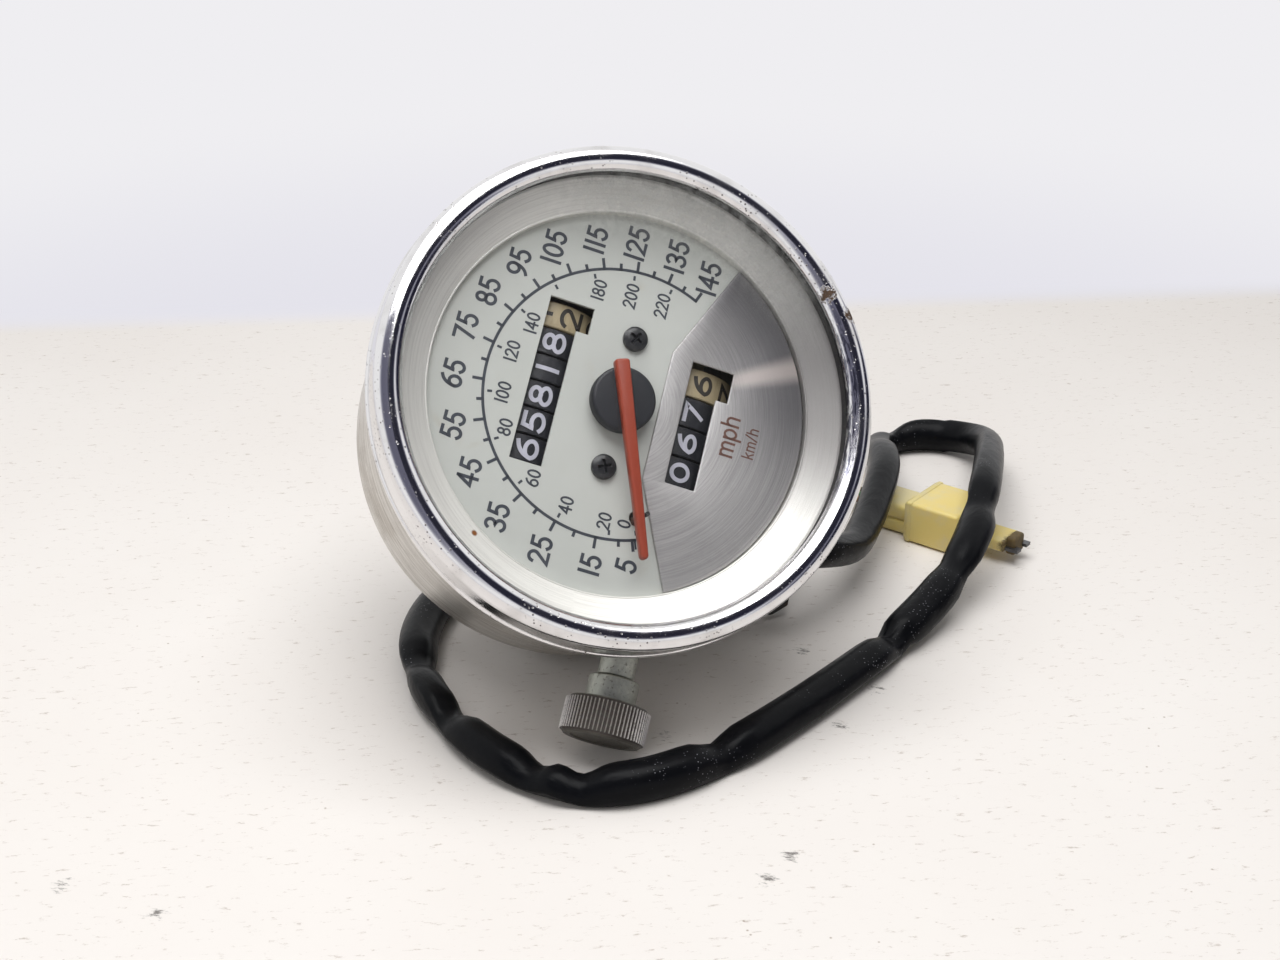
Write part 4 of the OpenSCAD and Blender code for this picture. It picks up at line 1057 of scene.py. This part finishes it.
SIX = [(hoop(0, -0.2, 0.27, 0.3), True), (sweep((0.18, 0.5), (-0.2, 0.36), (-0.27, -0.2)), False)]
FIGURES = {
    "0": (0.80, [(hoop(0, 0, 0.27, 0.5), True)]),
    "1": (0.40, [([(0, -0.5), (0, 0), (0, 0.5)], False)]),
    "2": (0.80, [(bow(0, 0.24, 0.26, 0.26, 168, -38) + [(-0.27, -0.5), (0.27, -0.5)], False)]),
    "3": (0.78, [(bow(-0.02, 0.255, 0.235, 0.245, 150, -90)
                  + bow(-0.03, -0.245, 0.275, 0.255, 88, -150), False)]),
    "4": (0.82, [([(0.12, -0.5), (0.12, 0), (0.12, 0.5)], False),
                 ([(0.10, 0.47), (-0.29, -0.19), (0.29, -0.19)], False)]),
    "5": (0.78, [([(0.23, 0.5), (-0.15, 0.5), (-0.21, 0.06)]
                  + bow(-0.01, -0.19, 0.275, 0.31, 124, -148), False)]),
    "6": (0.80, SIX),
    "7": (0.78, [([(-0.27, 0.5), (0.26, 0.5), (0.08, 0), (-0.1, -0.5)], False)]),
    "8": (0.80, [(hoop(0, 0.255, 0.215, 0.245), True), (hoop(0, -0.235, 0.27, 0.265), True)]),
    "9": (0.80, turned_over(SIX)),
    "m": (1.04, [([(-0.38, -0.5), (-0.38, -0.2), (-0.38, 0.18)], False),
                 (bow(-0.19, -0.02, 0.19, 0.2, 180, 0) + [(0, -0.5)], False),
                 (bow(0.19, -0.02, 0.19, 0.2, 180, 0) + [(0.38, -0.5)], False)]),
    "p": (0.76, [([(-0.25, 0.18), (-0.25, -0.3), (-0.25, -0.8)], False),
                 (hoop(0, -0.16, 0.25, 0.34), True)]),
    "h": (0.70, [([(-0.22, 0.5), (-0.22, 0), (-0.22, -0.5)], False),
                 (bow(0, -0.04, 0.22, 0.22, 180, 0) + [(0.22, -0.5)], False)]),
    "k": (0.66, [([(-0.2, 0.5), (-0.2, 0), (-0.2, -0.5)], False),
                 ([(0.2, 0.18), (0, 0), (-0.18, -0.18)], False),
                 ([(-0.04, -0.05), (0.08, -0.26), (0.22, -0.5)], False)]),
    "/": (0.52, [([(-0.18, -0.55), (0, 0), (0.18, 0.55)], False)]),
}


def divided(line, step):
    """The same line with more points, so that it can be bent."""
    made = [line[0]]
    for a, b in zip(line, line[1:]):
        parts = max(1, math.ceil(math.dist(a, b) / step))
        made += [tuple(p + (q - p) * i / parts for p, q in zip(a, b)) for i in range(1, parts + 1)]
    return made


def write(shape, words, centre, height, stroke, low, high, wide=1.0, bend=None, paint=0):
    """Draws words upright in the dial's frame, round a centre."""
    tall = height - stroke
    room = [FIGURES[letter][0] * tall * wide for letter in words]
    x = centre[0] - sum(room) / 2
    for letter, advance in zip(words, room):
        for line, closed in FIGURES[letter][1]:
            path = [(x + advance / 2 + px * tall * wide, centre[1] + py * tall) for px, py in line]
            if bend:
                path = divided(path, 0.5)
            shape.ribbon(path, stroke, low, high, closed, bend, paint)
        x += advance


# The middle of each figure on the dial, as a pixel of the photograph
MPH_PIXELS = {
    5: (626, 566), 15: (590, 565), 25: (540, 550), 35: (497, 517), 45: (469, 472), 55: (453, 425),
    65: (453, 373), 75: (466, 326), 85: (488, 291), 95: (519, 262), 105: (554, 247), 115: (596, 240),
    125: (637, 244), 135: (677, 257), 145: (709, 279)}
KMH_PIXELS = {
    0: (624, 524), 20: (604, 521), 40: (566, 505), 60: (533, 478), 80: (505, 427), 100: (503, 392),
    120: (512, 351), 140: (532, 323), 180: (599, 290), 200: (631, 296), 220: (662, 306)}
# Each row of marks has a name, count, first reading, step, radius, long and short length, and width
MARK_ROWS = [
    ("speed_marks", 29, 5.0, 5.0, SCALE_R - 0.3, 2.6, 1.6, 0.62),
    ("small_marks", 12, 0.0, 20 / KMH, 26.1, 1.0, 1.0, 0.5),
    ("zero_mark", 1, SCALE_START, 1.0, SCALE_R - 0.3, 2.2, 2.2, 0.4)]


def make_printing(ink, faded):
    low, high = -DIAL_DEPTH - PRINT_SINK, -DIAL_DEPTH + PRINT_LIFT
    figures = Shape()
    for pixels, height, stroke, wide in ((MPH_PIXELS, 4.55, 0.68, 0.96), (KMH_PIXELS, 2.85, 0.42, 0.92)):
        for speed, pixel in pixels.items():
            centre = on_plane(pixel, DIAL, -DIAL_DEPTH)
            write(figures, str(speed), centre, height, stroke, low, high, wide)
    speeds = [SCALE_START + (SCALE_END - SCALE_START) * i / SCALE_STEPS for i in range(SCALE_STEPS + 1)]
    angles = [radians(reading_angle(speed)) for speed in speeds]
    figures.ribbon([(SCALE_R * math.cos(a), SCALE_R * math.sin(a)) for a in angles], 0.6, low, high)
    figures.piece("dial_figures", "case", "dial_paint", [ink])
    marks = reading_pattern()
    for name, count, first, step, radius, long, short, width in MARK_ROWS:
        mesh = marks.run(name, Count=count, First=first, Step=step, Radius=radius, Long=long, Short=short,
                         Width=width, Thickness=high - low, Level=(low + high) / 2, Material=ink)
        add_piece(name, mesh, "case")
    units = Shape()
    for words, y, height, stroke in (("mph", -23.4, 4.1, 0.5), ("km/h", -28.5, 2.6, 0.3)):
        write(units, words, (0, y), height, stroke, SECTOR_TOP - PRINT_SINK, SECTOR_TOP + PRINT_LIFT)
    units.piece("unit_words", "case", "brushed_plate", [faded])


def make_front(finishes):
    bezel = Shape()
    bead = arc(((BEZEL_R + LIP_R) / 2, BEAD_Z), (BEZEL_R - LIP_R) / 2, 160, 0, 30)
    bezel.lathe(bead + arc(CRIMP_PLACE, CRIMP_R, 56, -90, 10)
                + [(FOLD_R, FOLD_BACK), (FOLD_R, FOLD_FRONT), (STACK_R, FOLD_FRONT), (STACK_R, LIP_BACK),
                   (LIP_R + 0.25, LIP_BACK)], steps=320)
    bezel.piece("bezel_ring_rolled", "case", "chrome", [finishes["chrome"]], ("bezel_ring",))
    glass = Shape()
    glass.lathe([(0.5, GLASS_FRONT), (GLASS_R - 0.2, GLASS_FRONT), (GLASS_R, GLASS_FRONT - GLASS_EDGE),
                 (GLASS_R, GLASS_BACK + GLASS_EDGE), (GLASS_R - 0.2, GLASS_BACK), (0.5, GLASS_BACK)],
                closed=False, steps=160)
    glass.piece("glass_disc", "case", "glass", [finishes["glass"]], ("glass_lens",))
    trim = Shape()
    trim.lathe([(STACK_R, TRIM_FRONT), (LIP_R + 0.4, TRIM_FRONT), (LIP_R + 0.2, TRIM_FRONT - 0.08)]
               + arc((TRIM_R + TRIM_EDGE, -8.62), TRIM_EDGE, 65, 180, 6)
               + [(TRIM_R, TRIM_FOOT), (TRIM_R + 0.9, TRIM_FOOT), (TRIM_R + 0.9, -9.3),
                  (46, TRIM_FLANGE_BACK), (STACK_R, TRIM_FLANGE_BACK)], steps=256)
    trim.piece("trim_ring_turned", "case", "turned_aluminium", [finishes["trim"]], ("trim_ring",))
    softened("sector_plate_edged", "sector_plate", finishes["sector"], 0.32)
    gasket = Shape()
    gasket.lathe([(GASKET_R, GASKET_FRONT), (GLASS_R, GASKET_FRONT), (GLASS_R, GASKET_BACK),
                  (GASKET_R, GASKET_BACK)], steps=160)
    gasket.piece("lens_gasket_ring", "case", "rubber", [finishes["rubber"]], ("lens_gasket",))


def share(value):
    """The value, held between 0 and 1."""
    return max(0.0, min(1.0, value))


def screw_head(rings=36, steps=72):
    """A pan head with a cross recess, as rings of points from the middle to the rim."""
    shape = Shape()

    def level(x, y):
        top = SCREW_CROWN * (1 - (math.hypot(x, y) / SCREW_HEAD_R) ** 4)
        inner = min(abs(x), abs(y))
        reach = max(abs(x), abs(y))
        cut = share((RECESS_ARM - inner) / 0.12) * share((RECESS_REACH - reach) / 0.3)
        return top - RECESS_DEPTH * cut

    loops = []
    for ring in range(1, rings + 1):
        r = SCREW_HEAD_R * ring / rings
        flat = [(r * math.cos(a), r * math.sin(a)) for a in full_turn(steps)]
        loops.append([(x, y, level(x, y)) for x, y in flat])
    loops.append([(x, y, SCREW_FOOT) for x, y, _ in loops[-1]])
    shape.loft(loops)
    return shape


def make_screws(finish):
    heads = Shape()
    for side, turn in SCREW_TURNS:
        seat = Matrix.Translation((side * SCREW_X, 0, -DIAL_DEPTH + SCREW_LIFT))
        place = seat @ Matrix.Rotation(radians(turn), 4, "Z")
        one = screw_head()
        base = len(heads.points)
        heads.points += [place @ point for point in one.points]
        for corners in one.faces:
            heads.face([base + i for i in corners])
    heads.piece("dial_screw_heads", "case", "black_screw", [finish], ("dial_screws",))


def needle_outline(inset, steps=10):
    """The needle's tapered outline, drawn in by the inset, with a blunt tail and a round tip."""
    ends = arc((NEEDLE_TIP - NEEDLE_TIP_HALF, 0), NEEDLE_TIP_HALF - inset, -90, 90, steps)
    back, side = NEEDLE_CORNER - NEEDLE_TAIL, NEEDLE_HALF - NEEDLE_CORNER
    corner = NEEDLE_CORNER - inset * 0.8
    ends += arc((back, side), corner, 90, 180, steps // 2)
    return ends + arc((back, -side), corner, 180, 270, steps // 2)


# Each layer of the needle is drawn in by an inset, at a level
NEEDLE_LAYERS = [(0.12, -6.5), (0.0, -6.3), (0.0, -5.1), (0.10, -4.72), (0.30, -4.5), (0.55, -4.4)]
# Outlines of turned pieces, as (radius, height)
HUB_OUTLINE = [(HUB_R - 0.25, -9.1), (HUB_R, -8.8), (HUB_R, -6.75), (HUB_R - 0.15, -6.45),
               (HUB_R - 0.45, -6.25), (HUB_R - 0.75, -6.2)]
STOP_BUSH_OUTLINE = [(0.85, -10.5), (0.85, -9.7), (0.72, -9.5), (0.5, -9.45)]


def make_pointer(red, black):
    needle = Shape()
    needle.loft([[(x, y, z) for x, y in needle_outline(inset)] for inset, z in NEEDLE_LAYERS])
    turn = DIAL @ Matrix.Rotation(radians(NEEDLE_REST), 4, "Z")
    needle.piece("needle_moulded", "pointer", "needle_red", [red], ("needle",), turn, 50)
    hub = Shape()
    hub.lathe(HUB_OUTLINE, closed=False, steps=128)
    hub.piece("needle_hub_cap", "pointer", "hub_black", [black], ("needle_hub",))


def make_stop(finish):
    """The soft bush that the needle's stop stands beside."""
    bush = Shape()
    bush.lathe(STOP_BUSH_OUTLINE, closed=False, steps=40, turn=Matrix.Translation(STOP_BUSH_PLACE))
    bush.piece("zero_stop_bush", "case", "rubber", [finish])


def make_drum(name, body, node, slot, centre_x, y, pitch, shown, lag, finishes, wide, height):
    """A number drum with its ten figures round the rim. lag is how far it has rolled past the figure."""
    half = (pitch - DRUM_GAP) / 2
    drum = Shape()
    drum.lathe([(DRUM_BORE_R, -half), (DRUM_R - DRUM_EDGE, -half), (DRUM_R, -half + 0.2),
                (DRUM_R, half - 0.2), (DRUM_R - DRUM_EDGE, half), (DRUM_BORE_R, half)],
               steps=120, turn=Matrix.Translation((centre_x, 0, 0)) @ along_x(y, DRUM_Z))

    for figure in range(10):
        middle = radians(-36 * (figure - shown) + lag)

        def on_rim(point):
            angle = middle + point.y / DRUM_R
            up, out = point.z * math.sin(angle), point.z * math.cos(angle)
            return Vector((centre_x + point.x, y + up, DRUM_Z + out))

        write(drum, str(figure), (0, 0), height, DRUM_STROKE, DRUM_R - PRINT_LIFT, DRUM_R + PRINT_LIFT,
              wide, on_rim, 1)
    drum.piece(name, body, slot, finishes, (node,))


# Each counter has a name, the figures it shows, a place, a pitch and its figures' height
COUNTERS = [("odometer", "658182", ODO_Y, ODO_PITCH, 5.0), ("trip", "0676", TRIP_Y, TRIP_PITCH, 4.4)]
# How far the drums have rolled past their figures, in degrees: all but the last, and the last
COUNTER_LAGS = {"odometer": (0, -12.5), "trip": (-2.5, -5)}
FIGURE_WIDTH = 0.27


def make_counters(dark, tan, white, black):
    for name, figures, y, pitch, height in COUNTERS:
        for k, figure in enumerate(figures):
            last = k == len(figures) - 1
            centre_x = (k + 0.5 - len(figures) / 2) * pitch
            drum = f"{name}_drum_{k + 1}"
            make_drum(f"{drum}_printed", f"{name}_{k + 1}", drum, "tan_drum" if last else "dark_drum",
                      centre_x, y, pitch, int(figure), COUNTER_LAGS[name][last],
                      [tan, black] if last else [dark, white], FIGURE_WIDTH * pitch, height)


def make_case(finish):
    cup = Shape()
    rear = -CASE_DEPTH
    bend = (CUP_REAR_R - CUP_CORNER, rear + CUP_CORNER)
    length = CUP_FRONT - bend[1]
    side = [(CUP_R + (CUP_REAR_R - CUP_R) * i / 8, CUP_FRONT - length * i / 8) for i in range(8)]
    outside = side + arc(bend, CUP_CORNER, 0, -90, 14) + [(CUP_FLAT_R, rear), (CUP_HOLE_R, rear)]
    inside = [(CUP_HOLE_R, rear + CUP_WALL), (CUP_FLAT_R, rear + CUP_WALL)]
    inside += arc(bend, CUP_CORNER - CUP_WALL, -90, 0, 14) + [(CUP_R - CUP_WALL, CUP_FRONT)]
    cup.lathe(outside + inside, steps=256)
    cup.piece("case_cup_turned", "case", "case_metal", [finish], ("case_cup",))


def make_knob(finish):
    axis = along_x(TRIP_Y, DRUM_Z)
    knob = Shape()
    end = -KNOB_REACH
    shoulder = end + KNURL_LENGTH
    back = shoulder + KNOB_BOSS_LENGTH
    core = KNURL_R - KNURL_DEPTH
    inner = core - KNOB_CHAMFER
    knob.lathe([(2, back), (KNOB_BOSS_R - 0.3, back), (KNOB_BOSS_R, back - 0.3), (KNOB_BOSS_R, shoulder),
                (inner, shoulder), (core, shoulder - KNOB_CHAMFER), (core, end + KNOB_CHAMFER),
                (inner, end), (6.4, end), (6.1, KNOB_DISH), (1.0, KNOB_DISH)],
               closed=False, steps=128, turn=axis)
    knob.piece("reset_knob_body", "reset", "zinc", [finish], ("reset_knob",))
    ridges = ridge_pattern().run("reset_knob_ridges", axis, Count=KNURL_COUNT, Radius=core - 0.05,
                                 Length=RIDGE_LENGTH, Size=RIDGE_SIZE, Level=(shoulder + end) / 2,
                                 Material=finish)
    add_piece("reset_knob_ridges", ridges, "reset")


# Outer solids that get round edges: new name, solid, slot, finish and edge radius
REAR_PIECES = [
    ("mounting_bracket_pressed", "mounting_bracket", "bracket_black", "bracket", 0.35),
    ("dome_nuts_plated", "dome_nuts", "plated_steel", "plated", 0.3),
    ("stud_washers_plated", "stud_washers", "plated_steel", "plated", 0.25),
    ("stud_dampers_moulded", "stud_dampers", "rubber", "rubber", 0.6),
    ("harness_grommet_moulded", "harness_grommet", "rubber", "rubber", 0.5),
    ("knob_bush_turned", "knob_bush", "die_cast", "zinc", 0.25),
    ("cable_boss_turned", "cable_boss", "die_cast", "zinc", 0.4)]
# Solids that stay as they are, by the finish that each gets
PAINTED_SOLIDS = {
    "rubber": ("knob_seal",),
    "plated": ("mounting_studs", "frame_screws", "odometer_shaft", "reset_shaft", "pointer_spindle",
               "drive_spindle"),
    "zinc": ("movement_frame", "spindle_bridge"),
    "bronze": ("drive_bush", "hairspring"),
    "magnet": ("drive_magnet", "field_ring", "connector_terminals"),
    "trim": ("speed_cup",),
    "gear": ("lay_shaft", "upright_shaft", "idler_gear", "trip_gear"),
    "dial": ("dial_plate",),
    "holder": ("bulb_holders", "zero_stop_pin"),
    "bulb": ("bulbs",)}


def make_rear(finishes):
    for name, node, slot, finish, width in REAR_PIECES:
        softened(name, node, finishes[finish], width)
    thread = thread_pattern().run("cable_boss_thread", Count=THREAD_COUNT, Radius=UNION_R,
                                  Step=THREAD_STEP, Size=THREAD_SIZE, Level=THREAD_END,
                                  Material=finishes["zinc"])
    smooth(thread, 30)
    add_piece("cable_boss_thread", thread, "case")


def make_inside(finishes):
    for finish, nodes in PAINTED_SOLIDS.items():
        for node in nodes:
            for slot in NODES[node].material_slots:
                slot.material = finishes[finish]


# Table, backdrop and light. The smears on the table are pixels of the photograph
SMEAR_PIXELS = [(770, 880), (155, 915), (840, 725), (790, 855), (875, 690), (60, 885), (665, 735),
                (800, 650)]
# Directions in which shiny metal sees the dark room
DARK_ROOM = (0.534, -0.536, 0.651)
DARK_FRONT = (-0.24, -0.67, 0.70)
# The table's far edge, and where the whole sheet fades to the backdrop
TABLE_EDGE = 222
TABLE_SLOPE = 0.08
FADE_START = 330
FADE_END = 520
WHITE = (1.0, 1.0, 1.0, 1.0)
BACKDROP_LEVEL = 0.86
DUSK = srgb(150, 150, 196)
STAGE_REACH = 1600
# Each lamp has a name, place, target, width, depth and power, and may show in mirrors
LAMPS = [("top_softbox", (-30, -80, 720), (0, 0, 30), 700, 560, 5.6, True),
         ("front_fill", (-260, -680, 460), (0, 0, 50), 400, 300, 0.9, False)]


def table_finish():
    """A worn white table with a pale backdrop beyond its far edge."""
    f = Finish("pale_table_and_backdrop")
    place = f.space(TABLE)
    x, y, _ = f.split(place)
    flat = f.vector(x, y, 0.0)
    cloud = f.noise(flat, 0.012, 4, 0.6)
    pits = f.between(f.cells(flat, 0.20), 0.07, 0.02) * f.between(f.noise(flat, 0.025, 3), 0.46, 0.60)
    drift = f.vector(x * 0.25 + y * 0.1, y * 0.7 - x * 0.08, 0.0)
    flecks = f.between(f.noise(drift, 1, 6, 0.75), 0.58, 0.68)
    near = 0.0
    for pixel in SMEAR_PIXELS:
        near = f.larger(near, f.between(f.distance_to(flat, on_plane(pixel, TABLE, 0)), 6, 0.3))
    streak = f.noise(f.vector(x * 0.22, y * 0.5 + x * 0.12, 4.0), 1, 7, 0.75)
    smear = f.between(streak + near * 0.34, 0.80, 0.92)
    top = f.blend(cloud, srgb(226, 220, 215), srgb(234, 230, 226))
    top = f.blend(pits * 0.8 + flecks * 0.6, top, srgb(158, 142, 128))
    top = f.blend(smear * 0.8, top, srgb(60, 54, 50))
    reach = f.math("SQRT", x * x + y * y)
    paler = f.between(reach, TABLE_EDGE, TABLE_EDGE + 260)
    backdrop = f.blend(paler, srgb(228, 227, 235), srgb(239, 238, 241))
    seen = f.larger(f.ray("Camera"), f.ray("Glossy"))
    edge = f.between(y - x * TABLE_SLOPE, TABLE_EDGE - 12, TABLE_EDGE + 10)
    far = f.between(reach, FADE_START, FADE_END)
    beyond = f.larger(edge, far)
    glow = f.node("ShaderNodeEmission", None, {"Color": backdrop, "Strength": 1.0})
    matt = f.node("ShaderNodeBsdfPrincipled", None, {"Base Color": f.blend(beyond, top, backdrop),
                                                     "Roughness": 0.6 - flecks * 0.1})
    mixed = f.node("ShaderNodeMixShader", None, {0: seen * beyond, 1: matt, 2: glow})
    f.node("ShaderNodeOutputMaterial", None, {"Surface": mixed})
    return f.material


def make_stage():
    """One flat sheet, which only sets the scene."""
    name = "table_and_backdrop"
    corners = [(-1, -1, 0), (1, -1, 0), (1, 1, 0), (-1, 1, 0)]
    mesh = bpy.data.meshes.new(name)
    mesh.from_pydata([Vector(corner) * STAGE_REACH * MM for corner in corners], [], [[0, 1, 2, 3]])
    mesh.materials.append(table_finish())
    made = bpy.data.objects.new(name, mesh)
    bpy.context.scene.collection.objects.link(made)


def make_light():
    """A large soft lamp overhead in a white tent. Shiny metal also sees the dark room in front of it."""
    world = bpy.data.worlds.new("studio")
    bpy.context.scene.world = world
    world.use_nodes = True
    w = Graph(world.node_tree)
    w.tree.nodes.clear()
    camera = w.ray("Camera")
    mirror = w.larger(w.ray("Glossy"), w.ray("Transmission"))
    direction = w.node("ShaderNodeTexCoord", output="Generated")
    x, _, z = w.split(direction)
    right = w.between(w.dot(direction, DARK_ROOM), 0.84, 0.95)
    front = w.between(w.dot(direction, DARK_FRONT), 0.74, 0.94)
    side = w.between(x, 0.72, 0.92) * w.between(w.math("ABSOLUTE", z - 0.12), 0.30, 0.14)
    dark = w.larger(w.larger(right, front * 0.75), side) * mirror
    ambient = 0.05 + w.between(z, 0.05, 0.75) * 0.28
    matt = ambient * (1 - camera) * (1 - mirror)
    strength = matt + mirror * (1 - dark * 0.94) + camera * BACKDROP_LEVEL
    tint = w.node("ShaderNodeMix", {"data_type": "RGBA"}, {0: dark, 6: WHITE, 7: DUSK}, output=2)
    back = w.node("ShaderNodeBackground", None, {"Color": tint, "Strength": strength})
    w.node("ShaderNodeOutputWorld", None, {"Surface": back})
    for name, place, target, wide, deep, watts, mirrored in LAMPS:
        data = bpy.data.lights.new(name, "AREA")
        data.shape = "RECTANGLE"
        data.size, data.size_y = wide * MM, deep * MM
        data.energy = watts
        lamp = bpy.data.objects.new(name, data)
        lamp.location = Vector(place) * MM
        lamp.rotation_euler = (Vector(target) - Vector(place)).to_track_quat("-Z", "Y").to_euler()
        lamp.visible_glossy = mirrored
        bpy.context.scene.collection.objects.link(lamp)


def main():
    make_camera()
    make_harness()
    finishes = {
        "chrome": chrome_finish(),
        "glass": glass_finish(),
        "trim": trim_finish(),
        "dial": dial_finish(),
        "sector": sector_finish(),
        "zinc": zinc_finish("weathered_zinc"),
        "bracket": bracket_finish(),
        "rubber": rubber_finish("black_rubber", srgb(30, 30, 31), srgb(64, 62, 60)),
        "plated": plated_finish("plated_steel", srgb(172, 169, 163), srgb(128, 124, 117), 0.28),
        "bronze": plated_finish("bronze", srgb(196, 152, 90), srgb(142, 104, 60), 0.3),
        "magnet": plated_finish("magnet_grey", srgb(104, 104, 106), srgb(72, 72, 74), 0.45),
        "gear": moulded_finish("gear_nylon", srgb(222, 214, 190), srgb(200, 190, 160), 0.45),
        "holder": moulded_finish("holder_black", srgb(40, 40, 42), srgb(58, 57, 56), 0.5),
        "bulb": moulded_finish("bulb_amber", srgb(236, 224, 190), srgb(214, 196, 150), 0.15),
    }
    make_front(finishes)
    make_printing(ink_finish("dial_ink", srgb(42, 46, 56), srgb(70, 74, 82)),
                  ink_finish("faded_words", srgb(86, 54, 46), srgb(116, 84, 74)))
    make_screws(black_finish("black_screw_paint", srgb(32, 33, 36), srgb(70, 68, 66), 0.34))
    make_pointer(needle_finish(), black_finish("hub_black", srgb(24, 26, 32), srgb(40, 41, 46), 0.5, 0.25))
    make_stop(rubber_finish("brown_rubber", srgb(66, 42, 34), srgb(92, 66, 54)))
    make_counters(drum_finish("dark_drum", srgb(28, 29, 35), srgb(62, 62, 66)),
                  drum_finish("tan_drum", srgb(166, 152, 122), srgb(132, 118, 90)),
                  ink_finish("white_figures", srgb(196, 196, 208), srgb(168, 168, 180)),
                  ink_finish("black_figures", srgb(34, 32, 32), srgb(58, 52, 46)))
    make_case(cup_finish())
    make_knob(zinc_finish("knurled_zinc", knurled=True))
    make_rear(finishes)
    make_inside(finishes)
    make_stage()
    make_light()


main()
